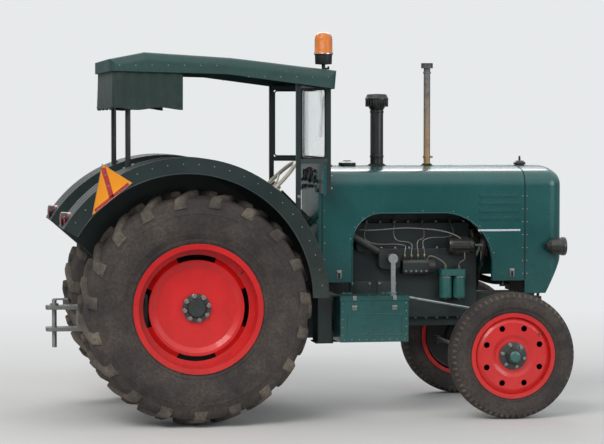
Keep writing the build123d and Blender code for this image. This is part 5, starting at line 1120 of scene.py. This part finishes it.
def dash_details():
    """Gauges, knobs, tell-tales and screws on the dash panel."""
    rims, faces, marks, knobs, lamps, screws = Shape(), Shape(), Shape(), Shape(), Shape(), Shape()
    for y, z, radius, angle in ((-0.175, 1.545, 0.040, -125), (0.0, 1.550, 0.050, -90), (0.175, 1.545, 0.040, -100)):
        gauge(rims, faces, marks, Vector((DASH_X, y, z)), radius, angle)
    rims.done("gauge_rims", black_plastic, smooth=35)
    faces.done("gauge_faces", black_plastic)
    marks.done("gauge_marks", ivory)
    for y, z, size in ((-0.105, 1.475, 1.0), (-0.065, 1.475, 0.8), (0.105, 1.475, 1.0), (0.145, 1.475, 0.8),
                       (0.29, 1.51, 1.1), (0.29, 1.455, 0.9), (-0.29, 1.51, 1.1)):
        outline = [(0.013 * size, 0), (0.013 * size, 0.003), (0.006, 0.0045), (0.006, 0.014), (0.011 * size, 0.017),
                   (0.0115 * size, 0.027), (0.009 * size, 0.030), (0, 0.030)]
        knobs.lathe(outline, (DASH_X, y, z), BACKWARD, 20)
    knobs.box(across(0.8435, -0.345, 1.440), across(0.851, -0.235, 1.470), 0.003)
    knobs.done("dash_knobs", black_plastic, smooth=35)
    for side in BOTH:
        lamps.dome((DASH_X, side * 0.085, 1.592), BACKWARD, 0.008, 0.006, 14)
        spots = [(y, z) for y in (0.36, 0.47) for z in (1.455, 1.615)] + [(0.31, z) for z in (0.86, 1.05, 1.24)]
        for y, z in spots:
            screws.dome((DASH_X, side * y, z), BACKWARD, height=0.003)
    lamps.done("tell_tales", red_lens, smooth=50)
    screws.done("dash_screws", zinc)


def floor_mat():
    mat = Shape()
    for side in BOTH:
        mat.box(across(0.24, side * 0.030, 0.7995), across(0.842, side * 0.405, 0.8045), 0.0015)
        for x in every(0.26, 0.031, 19):
            mat.box(across(x, side * 0.042, 0.804), across(x + 0.010, side * 0.393, 0.8075), 0.001)
    mat.done("floor_mat", hose_rubber)


def pedals():
    """Clutch and two brake pedals with ribbed pads, and the throttle pedal."""
    arms, pads = Shape(), Shape()
    tilt = Matrix.Rotation(radians(28), 3, "Y")
    for y in (0.235, -0.165, -0.260):
        route = ((0.780, FLOOR_TOP), (0.775, 0.88), (0.735, 0.96), (0.700, 0.985))
        arms.tube(smooth_path([across(x, y, z) for x, z in route]), 0.0095, 10)
        arms.box(across(0.760, y - 0.024, 0.7995), across(0.800, y + 0.024, 0.822), 0.004)
        pad = across(0.700, y, 0.9885)
        pads.block(pad, (0.033, 0.038, 0.005), 0.004, tilt)
        for x in every(-0.022, 0.0145, 4):
            pads.block(pad + tilt @ Vector((x, 0, 0.0068)), (0.003, 0.033, 0.002), 0.001, tilt)
    arms.tube(smooth_path([across(x, -0.345, z) for x, z in ((0.81, FLOOR_TOP), (0.79, 0.86), (0.745, 0.90))]), 0.006)
    pads.box(across(0.690, -0.372, 0.8975), across(0.765, -0.318, 0.9055), 0.003, Matrix.Rotation(radians(22), 3, "Y"))
    arms.done("pedal_arms", black_paint, smooth=45)
    pads.done("pedal_pads", hose_rubber)


def levers():
    """Gear and range levers with their boots, hand brake, and the hydraulic levers beside the seat."""
    rods, knobs, boots = Shape(), Shape(), Shape()
    for foot, top, size in (
        ((0.42, 0.0, FLOOR_TOP), (0.345, 0.02, 1.13), 1.0), ((0.335, -0.12, FLOOR_TOP), (0.285, -0.155, 1.02), 0.8),
        ((0.335, 0.12, FLOOR_TOP), (0.29, 0.155, 0.99), 0.8),
    ):
        foot, top = across(*foot), across(*top)
        bend = foot.lerp(top, 0.45) + Vector((0.02, 0, 0))
        rods.tube(smooth_path([foot, bend, top]), [0.0085 * size] * 8 + [0.007 * size] * 7, 10)
        outline = ((0.052, -0.001), (0.052, 0.006), (0.040, 0.010), (0.042, 0.018), (0.030, 0.024), (0.032, 0.034),
                   (0.020, 0.040), (0.021, 0.052), (0.011, 0.060), (0, 0.060))
        boots.lathe([(radius * size, rise) for radius, rise in outline], foot, UP, 28)
        ball = [(0.021 * size * cos(radians(a)), 0.021 * size * sin(radians(a))) for a in range(-75, 90, 15)]
        knobs.lathe([(0, -0.022 * size), *ball, (0, 0.0212 * size)], top + UP * 0.006, UP, 22)
    foot, top = across(0.30, 0.335, FLOOR_TOP), across(0.10, 0.335, 1.13)
    rods.tube([foot, foot.lerp(top, 0.5), top], [0.010, 0.009, 0.008], 10)
    rods.box(across(0.245, 0.326, 0.7995), across(0.345, 0.344, 0.872), 0.006)
    knobs.tube([foot.lerp(top, 0.72), top + (top - foot).normalized() * 0.006], 0.0135, 14)
    for y, lean in ((-0.392, 0.05), (-0.372, -0.02)):
        top = across(0.22 + lean, y, 1.335)
        rods.tube([across(0.16, y, 1.16), top], 0.006)
        knobs.lathe([(0, -0.015), (0.012, -0.011), (0.015, 0.0), (0.012, 0.012), (0, 0.016)], top, (0.3, 0, 1), 18)
    rods.box(across(0.09, -0.4165, 1.085), across(0.25, -0.362, 1.175), 0.006)
    rods.done("levers", black_paint, smooth=45)
    knobs.done("lever_knobs", black_plastic, smooth=50)
    boots.done("lever_boots", hose_rubber, smooth=50)


def column_details():
    """Cap on the steering wheel's hub and the collar where its column leaves the dash."""
    tilt = radians(45)
    axis = Vector((-cos(tilt), 0, sin(tilt)))
    hub = across(0.600, 0, 1.480)
    cap = Shape().lathe([(0.031, 0.004), (0.031, 0.010), (0.026, 0.0145), (0.012, 0.017), (0, 0.0175)], hub, axis, 32)
    cap.done("wheel_cap", black_plastic, "steering_wheel", slot="wheel_plastic")
    outline = [(0.0244, 0), (0.036, 0.002), (0.036, 0.010), (0.030, 0.016), (0.0244, 0.017)]
    collar = Shape().lathe(outline, hub - axis * 0.336, axis, 28, closed=True)
    collar.done("column_collar", hose_rubber, smooth=35)


def beacon_details():
    """Beacon: stem and clamp, dark base with a skirt, and a ribbed amber dome, in the CAD beacon's form."""
    at = middle("beacon")
    at.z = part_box("beacon")[0].z
    base, dome = Shape(), Shape()
    outline = [(0.0, 0.0), (0.012, 0.0), (0.012, 0.030), (0.022, 0.031), (0.052, 0.033), (0.0535, 0.036),
               (0.0555, 0.090), (0.0595, 0.093), (0.0595, 0.1005), (0.0, 0.1005)]
    base.lathe(outline, at, UP, 48)
    base.tube([at + Vector((x, 0, 0.006)) for x in (0.012, 0.034)], 0.0055, 10)
    base.box(at + Vector((0.026, -0.004, 0.0)), at + Vector((0.038, 0.004, 0.020)), 0.001)
    base.done("beacon_base", black_plastic, smooth=35, replaces="beacon")
    outline = [(0.0595, 0.1005), (0.0595, 0.112), (0.0575, 0.114), (0.0565, 0.190), (0.0535, 0.212), (0.0445, 0.2265),
               (0.030, 0.2345), (0.012, 0.2367), (0.0, 0.2368)]
    rows = []
    for step, out in enumerate(circle(FORWARD, Vector((0, 1, 0)), 144)):
        groove = 0.0 if step % 3 else 0.0009
        rows.append([at + out * (r - groove * (0.114 <= z <= 0.22)) + UP * z for r, z in outline])
    dome.skin(rows, along=True).done("beacon_dome", amber_lens, smooth=50, replaces="beacon")
    hoop = Shape().hoop(at + UP * 0.097, UP, 0.0597, 0.0612, 0.007, 48)
    hoop.done("beacon_ring", chrome, smooth=35)


for dress in (screen_details, dash_details, floor_mat, pedals, levers, column_details, beacon_details):
    dress()

# Seat, rear curtain, mudguards, rear lamps, sign, hitch, box, platform and roof


def swell(piece, cap, voxel=0.005):
    """Remesh the pad, blow it up as cloth and keep each point within the cap of where it began."""
    bpy.context.view_layer.objects.active = piece
    remesh = piece.modifiers.new("remesh", "REMESH")
    remesh.mode = "VOXEL"
    remesh.voxel_size = voxel
    bpy.ops.object.modifier_apply(modifier="remesh")
    start = [vertex.co.copy() for vertex in piece.data.vertices]
    cloth = piece.modifiers.new("cloth", "CLOTH")
    settings = cloth.settings
    settings.use_pressure = True
    settings.uniform_pressure_force = 4.0
    settings.effector_weights.gravity = 0.0
    settings.quality = 6
    settings.tension_stiffness = settings.compression_stiffness = 18.0
    for step in range(1, 21):
        bpy.context.scene.frame_set(step)
    graph = bpy.context.evaluated_depsgraph_get()
    swollen = [vertex.co.copy() for vertex in piece.evaluated_get(graph).data.vertices]
    piece.modifiers.remove(cloth)
    bpy.context.scene.frame_set(1)
    for vertex, before, after in zip(piece.data.vertices, start, swollen):
        move = after - before
        vertex.co = before + (move.normalized() * cap if move.length > cap else move)


def bell(value):
    """Bell curve, 1 at 0."""
    return exp(-value * value)


def cushion(name, node, gaps, corner, cap, *, sides, crown, groove, lines, pull, welts):
    """Pad blown up inside its node's box, crowned, pulled in at its channels, with welts round it.

    gaps keep the block off the box's low and high corners. sides names the axes along the channels, across them and
    out of the face that is sat on. crown is its height and how far along the channels run, groove their depth, lines
    how far apart they are. pull draws the edges in. welts are their heights, inset, squareness and radius."""
    low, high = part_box(node)
    center, half = (low + high) / 2, (high - low) / 2
    shape = Shape().box(low + Vector(gaps[0]), high - Vector(gaps[1]), corner, segments=4)
    piece = shape.placed(name, None)
    swell(piece, cap)
    long, wide, up = sides
    for vertex in piece.data.vertices:
        place = vertex.co
        u, v, w = ((place[axis] - center[axis]) / half[axis] for axis in sides)
        channels = sum(bell((place[wide] - line) / 0.011) for line in (-lines, 0.0, lines)) * (abs(u) < crown[1])
        place[up] += max(0.0, w) * (crown[0] * (1 - u * u) * (1 - v * v) - groove * channels)
        pull_long, pull_wide = pull(u, v)
        place[long] -= pull_long * u
        place[wide] -= pull_wide * v
        for axis, inset_low, inset_high in ((long, 0.001, 0.001), (wide, 0.001, 0.001), (up, 0.0005, 0.0)):
            place[axis] = min(max(place[axis], low[axis] + inset_low), high[axis] - inset_high)
    welt = Shape()
    heights, inset, power, radius = welts
    for height in heights:
        points = []
        for c, s in ((cos(a), sin(a)) for a in every(0, 2 * pi / 48, 48)):
            reach = (abs(c) ** power + abs(s) ** power) ** (-1 / power)
            point = Vector()
            first, second = sorted((long, wide))
            point[up] = (high if height < 0 else low)[up] + height
            point[first] = center[first] + (half[first] - inset) * reach * c
            point[second] = center[second] + (half[second] - inset) * reach * s
            points.append(point)
        welt.tube(points, radius, closed=True)
    sub = piece.modifiers.new("smooth", "SUBSURF")
    sub.levels = sub.render_levels = 1
    bpy.context.view_layer.objects.active = piece
    bpy.ops.object.modifier_apply(modifier="smooth")
    piece.data.materials.append(seat_vinyl)
    soften(piece, 60)
    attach(piece, "chassis")
    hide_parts(node)
    welt.done(f"{node}_welt", seat_vinyl, smooth=60)


def seat_pads():
    """Seat and back cushions, and the bolts of their frame."""
    cushion("seat_pad", "seat_cushion", ((0.012, 0.012, 0.002), (0.012, 0.012, 0.010)), 0.030, 0.012,
            sides=(0, 1, 2), crown=(0.010, 0.86), groove=0.009, lines=0.115,
            pull=lambda u, v: [0.004 * (1 - abs(u * v))] * 2, welts=((-0.026, 0.012), 0.007, 5, 0.0035))
    cushion("back_pad", "back_cushion", ((0.002, 0.012, 0.012), (0.008, 0.012, 0.012)), 0.018, 0.010,
            sides=(2, 1, 0), crown=(0.007, 0.8), groove=0.007, lines=0.11,
            pull=lambda u, v: (0.004 * (1 - abs(v)), 0.004 * (1 - abs(u))), welts=((-0.013,), 0.006, 6, 0.003))
    bolts = Shape()
    for side in BOTH:
        for z in (1.235, 1.395):
            bolts.bolt(across(-0.186, side * 0.17, z), BACKWARD, 0.013, 0.008)
        for x in (-0.10, 0.02):
            bolts.bolt(across(x, side * 0.236, 1.225), (0, side, 0), 0.013, 0.008)
    bolts.done("seat_bolts", zinc)


def outward(before, after):
    """Level direction square to the run from one point to another."""
    run = Vector((after.x - before.x, after.y - before.y, 0)).normalized()
    return Vector((run.y, -run.x, 0))


def neighbors(points):
    """Each point with the one before and the one after it."""
    return zip(points[:1] + points[:-1], points, points[1:] + points[-1:])


def curtain():
    """Coated canvas hung as a U under the roof's rear edge: pleats, a stitched hem and eyelets."""
    low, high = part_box("rear_curtain")
    corner, inset = 0.041, 0.004
    half, back = high.y - inset, low.x + inset

    def bend(y, angles):
        return [Vector((back + corner + corner * cos(radians(a)), y + corner * sin(radians(a)), 0)) for a in angles]

    route = [Vector((high.x, -half, 0)), Vector((back + corner, -half, 0)), *bend(corner - half, range(260, 179, -10))]
    route += [Vector((back, corner - half, 0)), Vector((back, half - corner, 0))]
    route += [*bend(half - corner, range(170, 89, -10)), Vector((high.x, half, 0))]
    line = route[:1]
    for start, end in zip(route, route[1:]):
        steps = max(1, int((end - start).length / 0.012))
        line += [start.lerp(end, (k + 1) / steps) for k in range(steps)]
    tall, pleat, droop_span, rows_down = high.z - low.z, 0.088, 0.29, 22
    depth_top, depth_low, droop_low = 0.0030, 0.0100, 0.016
    drawn = []
    for row in range(rows_down + 1):
        share = row / rows_down
        depth = depth_top + (depth_low - depth_top) * share
        points = []
        gone = 0.0
        for before, here, after in neighbors(line):
            gone += (here - before).length
            wave = sin(gone * 2 * pi / pleat + 1.3 * sin(gone * 3.1) + 0.9 * share)
            droop = droop_low * share * (0.5 - 0.5 * cos(gone * 2 * pi / droop_span))
            points.append(here + outward(before, after) * wave * depth + UP * (high.z - (tall - droop) * share))
        drawn.append(points)
    thick = 0.0012
    loops = []
    for points in drawn:
        outs = [outward(before, after) * thick / 2 for before, _, after in neighbors(points)]
        outer = [here + out for here, out in zip(points, outs)]
        loops.append(outer + [here - out for here, out in zip(reversed(points), reversed(outs))])
    sheet, eyelets = Shape(), Shape()
    sheet.skin(loops, around=True)
    for loop in (loops[0], loops[-1]):
        for i in range(len(line) - 1):
            corners = (loop[i], loop[i + 1], loop[-i - 2], loop[-i - 1])
            sheet.mesh.faces.new([sheet.mesh.verts.new(point) for point in corners])
    piece = sheet.done("curtain_sheet", curtain_cloth, smooth=60, replaces="rear_curtain")
    hem = Shape().tube([point + UP * 0.006 for point in drawn[-1]], 0.0032)
    hem.done("curtain_hem", curtain_cloth, smooth=60)
    for index in (int((len(line) - 1) * (share + 0.5) / 9) for share in range(9)):
        held = drawn[2]
        out = outward(held[index - 1], held[index + 1])
        outline = [(0.006, 0), (0.0105, 0.0004), (0.0105, 0.0020), (0.006, 0.0026)]
        eyelets.lathe(outline, held[index] + out * 0.0004, out, 20, closed=True)
    eyelets.done("curtain_eyelets", brass, smooth=50)


def surface(node, start, way):
    """Place and outward direction where a ray from start first meets a node, or None."""
    data, matrix = nodes[node].data, nodes[node].matrix_world
    points, faces = [matrix @ vertex.co for vertex in data.vertices], [face.vertices[:] for face in data.polygons]
    way = Vector(way).normalized()
    place, out, _, _ = BVHTree.FromPolygons(points, faces).ray_cast(Vector(start), way)
    return place and (place, -out if out.dot(way) > 0 else out)


def guard_at(angle, radius, y):
    """Point at an angle and radius on the mudguard's circle."""
    a = radians(angle)
    return GUARD_CENTER + Vector((radius * cos(a), y, radius * sin(a)))


def guard_details():
    """Rolled lips, stiffening ribs and rivets of the mudguards."""
    beads, ribs, rivets = Shape(), Shape(), Shape()
    for side in BOTH:
        for radius, y, thick in ((0.7875, 0.8975, 0.0045), (0.8845, 0.8992, 0.0028)):
            beads.tube([guard_at(angle, radius, side * y) for angle in every(2, 147 / 48, 49)], thick)
        for y in (0.56, 0.74):
            rows = []
            for k in range(61):
                crest = 0.8845 + 0.0035 * min(1.0, min(k, 60 - k) / 2)
                section = ((-0.013, 0.8835), (-0.007, crest), (0.007, crest), (0.013, 0.8835))
                rows.append([guard_at(10 + 132 * k / 60, r, side * (y + dy)) for dy, r in section])
            ribs.skin(rows, around=True, caps=True)
        for angle in every(8, 9.9, 15):
            at = guard_at(angle, 0.8852, side * 0.433)
            rivets.dome(at, at - guard_at(0, 0, side * 0.433), 0.0048)
        for angle in every(6, 6.6, 22):
            rivets.dome(guard_at(angle, 0.846, side * 0.9001), (0, side, 0), 0.0042, 0.0022)
    beads.done("guard_beads", guard_green_painted_shade, smooth=50)
    ribs.done("guard_ribs", guard_green_painted_shade, smooth=50)
    rivets.done("guard_rivets", zinc)


def rear_lamps():
    """Housing, lens, screws and reflector of each rear lamp."""
    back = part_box("rear_lamps")[0].x
    housings, lenses, screws = Shape(), Shape(), Shape()
    housing = [(0.0425, -0.004), (0.0458, -0.002), (0.0462, 0.012), (0.0445, 0.034), (0.0425, 0.036)]
    glass = [(0.0428, 0.0), (0.0415, 0.0045), (0.034, 0.0075), (0.020, 0.0095), (0, 0.010)]
    for side in BOTH:
        at = Vector((back, side * 0.620, 1.290))
        housings.lathe(housing, at, FORWARD, 40, closed=True)
        lenses.lathe(glass, at, BACKWARD, 40)
        bar = ((-0.0062, -0.030, 0), (-0.0098, 0, 0), (-0.0062, 0.030, 0))
        lenses.tube([at + Vector(step) for step in bar], 0.0012, 6)
        for z in (-0.026, 0.026):
            screws.dome(at + Vector((-0.0074, 0, z)), BACKWARD, 0.0030, 0.0022)
        lenses.box((back + 0.009, at.y + side * 0.055, 1.268), (back + 0.014, at.y + side * 0.115, 1.312), 0.001)
        housings.box((back + 0.014, at.y + side * 0.040, 1.264), (back + 0.020, at.y + side * 0.119, 1.316), 0.002)
    housings.done("lamp_housings", black_paint)
    lenses.done("rear_lenses", red_lens, smooth=60)
    screws.done("lamp_screws", zinc)


def sign_details():
    """Red stripes, edge and screws of the warning sign."""
    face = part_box("warning_sign")[0].y
    corners = []
    for angle, out in ((121.8, 0.114), (115.0, -0.076), (137.8, -0.089)):
        corners.append(guard_at(angle, GUARD_R + out, 0))
        corners[-1].y = face
    center = sum(corners, Vector()) / 3
    top, right, foot = (corner.lerp(center, 0.16) for corner in corners)
    stripes, edge = Shape(), Shape()
    for start, end, wide in ((right, foot, 0.017), (top, (right + foot) / 2, 0.030)):
        run = (end - start).normalized()
        beside = Vector((-run.z, 0, run.x)) * wide / 2
        outline = [start - beside, end - beside, end + beside, start + beside]
        faces = [[point + RIGHTWARD * off for point in outline] for off in (-0.0006, 0.0007)]
        stripes.skin(faces, around=True, caps=True)
    stripes.done("sign_stripes", red_lens, smooth=30, slot="sign_face")
    edge.tube(corners, 0.0026, 6, closed=True)
    for share in (0.25, 0.62):
        at = top.lerp((right + foot) / 2, share)
        edge.dome(at + RIGHTWARD * 0.0006, RIGHTWARD, 0.0055, 0.003, 12)
    edge.done("sign_edge", zinc, smooth=50)


def hitch_details():
    """Bolts, pin grip and safety chain of the trailer coupling."""
    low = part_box("hitch")[0]
    bolts, grip, chain = Shape(), Shape(), Shape()
    rays = [((low.x - 0.2, y, z), FORWARD, 0.028, 0.018) for y in (-0.105, 0.105) for z in (0.585, 0.715)]
    rays += [(across(-0.30, side * 0.4, z), (0, -side, 0), 0.019, 0.012) for z in (0.60, 0.70) for side in BOTH]
    for start, way, wide, tall in rays:
        met = surface("hitch", start, way)
        if met:
            bolts.bolt(*met, wide, tall)
    bolts.done("hitch_bolts", iron_dark, slot="bare_steel")
    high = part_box("hitch_pin")[1]
    bent = ((-0.001, -0.004), (0.012, -0.012), (0.016, -0.030))
    grip.tube([(high.x + x, 0, high.z + z) for x, z in bent], [0.0065, 0.0068, 0.006], 10)
    grip.done("pin_grip", hose_rubber, smooth=60)
    center = middle("hitch")
    start = Vector((high.x + 0.015, 0.002, high.z - 0.030))
    end, _ = surface("hitch", (center.x, 0.4, center.z), RIGHTWARD)
    links, sag = 15, 0.05
    for index in range(links):
        share = (index + 0.5) / links
        here, on = (start.lerp(end, s) - UP * sag * sin(pi * min(1, s)) for s in (share, share + 0.02))
        run = (on - here).normalized()
        flat = Vector((0, 1, 0))
        side = run.cross(flat).normalized() if index % 2 else flat
        side = (side - run * side.dot(run)).normalized()
        chain.tube([here + out for out in circle(run * 0.0085, side * 0.0045, 12)], 0.0015, 6, closed=True)
    chain.done("pin_chain", zinc, smooth=60)


def box_details():
    """Tool box: catches, hasps, pressed panel line and rivets."""
    low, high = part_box("side_box")
    lid_low, lid_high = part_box("side_box_lid")
    face = low.y
    catches, hasps, rivets = Shape(), Shape(), Shape()
    for x in (low.x + 0.09, high.x - 0.09):
        catches.box((x - 0.016, face - 0.004, lid_low.z - 0.060), (x + 0.016, face + 0.001, lid_low.z - 0.030), 0.0012)
        wire = ((-0.010, 0.006, 0.048), (-0.010, 0.015, 0.040), (0.010, 0.015, 0.040), (0.010, 0.006, 0.048))
        catches.tube([(x + dx, face - out, lid_low.z - drop) for dx, out, drop in wire], 0.0026)
        hasps.box((x - 0.012, lid_low.y - 0.0035, lid_low.z + 0.002),
                  (x + 0.012, lid_low.y + 0.0005, lid_high.z - 0.003), 0.001)
    spots = [(x, low.z + 0.016) for x in every(low.x + 0.025, (high.x - low.x - 0.05) / 8, 9)]
    spots += [(x, z) for z in every(low.z + 0.045, 0.050, 5) for x in (low.x + 0.014, high.x - 0.014)]
    for x, z in spots:
        rivets.dome((x, face, z), RIGHTWARD, 0.0042, 0.0025)
    outline = rounded(((low.x + 0.045, low.z + 0.045), (high.x - 0.045, lid_low.z - 0.085)), 0.015)
    panel = Shape().tube([(x, face - 0.0002, z) for x, z in outline], 0.0026, closed=True)
    catches.done("box_catches", zinc)
    hasps.done("box_hasps", zinc, "side_box_lid")
    rivets.done("box_rivets", zinc)
    panel.done("box_panel_line", paint_green, smooth=60)


def platform_details():
    """Tread bars on the platform's side steps and bolts along its edge."""
    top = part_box("platform")[1].z
    treads, bolts = Shape(), Shape()
    for side in BOTH:
        for x in every(0.36, 0.045, 11):
            met = surface("platform", across(x, side * 0.575, top + 0.3), DOWN)
            if met and met[1].z > 0.9 and met[0].z > top - 0.02:
                treads.block(met[0] + UP * 0.00125, (0.0045, 0.045, 0.00175), 0.001)
        for x in every(0.22, 0.12, 6):
            met = surface("platform", across(x, side * 0.9, top - 0.012), (0, -side, 0))
            if met and abs(met[1].y) > 0.9:
                bolts.bolt(*met, 0.011, 0.007, 0.002)
    treads.done("platform_treads", bright_steel)
    bolts.done("platform_bolts", zinc)


def roof_details():
    """Rivets round the roof's edge and bolts at the feet of its rear posts."""
    low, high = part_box("roof")
    rivets, feet = Shape(), Shape()
    for name, side in reversed(SIDES):
        for x in every(low.x + 0.06, (high.x - low.x - 0.12) / 13, 14):
            for z in every(2.25 if x < ahead(0.2) else 2.18, -0.03, 3):
                met = surface("roof", (x, side, z), (0, -side, 0))
                if met and abs(met[1].y) > 0.9:
                    rivets.dome(*met)
                    break
        at, out = surface(f"mudguard_{name}", across(-0.400, side * 0.555, 2.0), DOWN)
        lean = out.cross(Vector((0, 1, 0))).normalized()
        for reach in (-0.030, 0.030):
            feet.bolt(at + lean * reach, out, 0.015, 0.010)
    rivets.done("roof_rivets", zinc)
    feet.done("post_bolts", zinc)


for dress in (seat_pads, curtain, guard_details, rear_lamps, sign_details, hitch_details, box_details,
              platform_details, roof_details):
    dress()
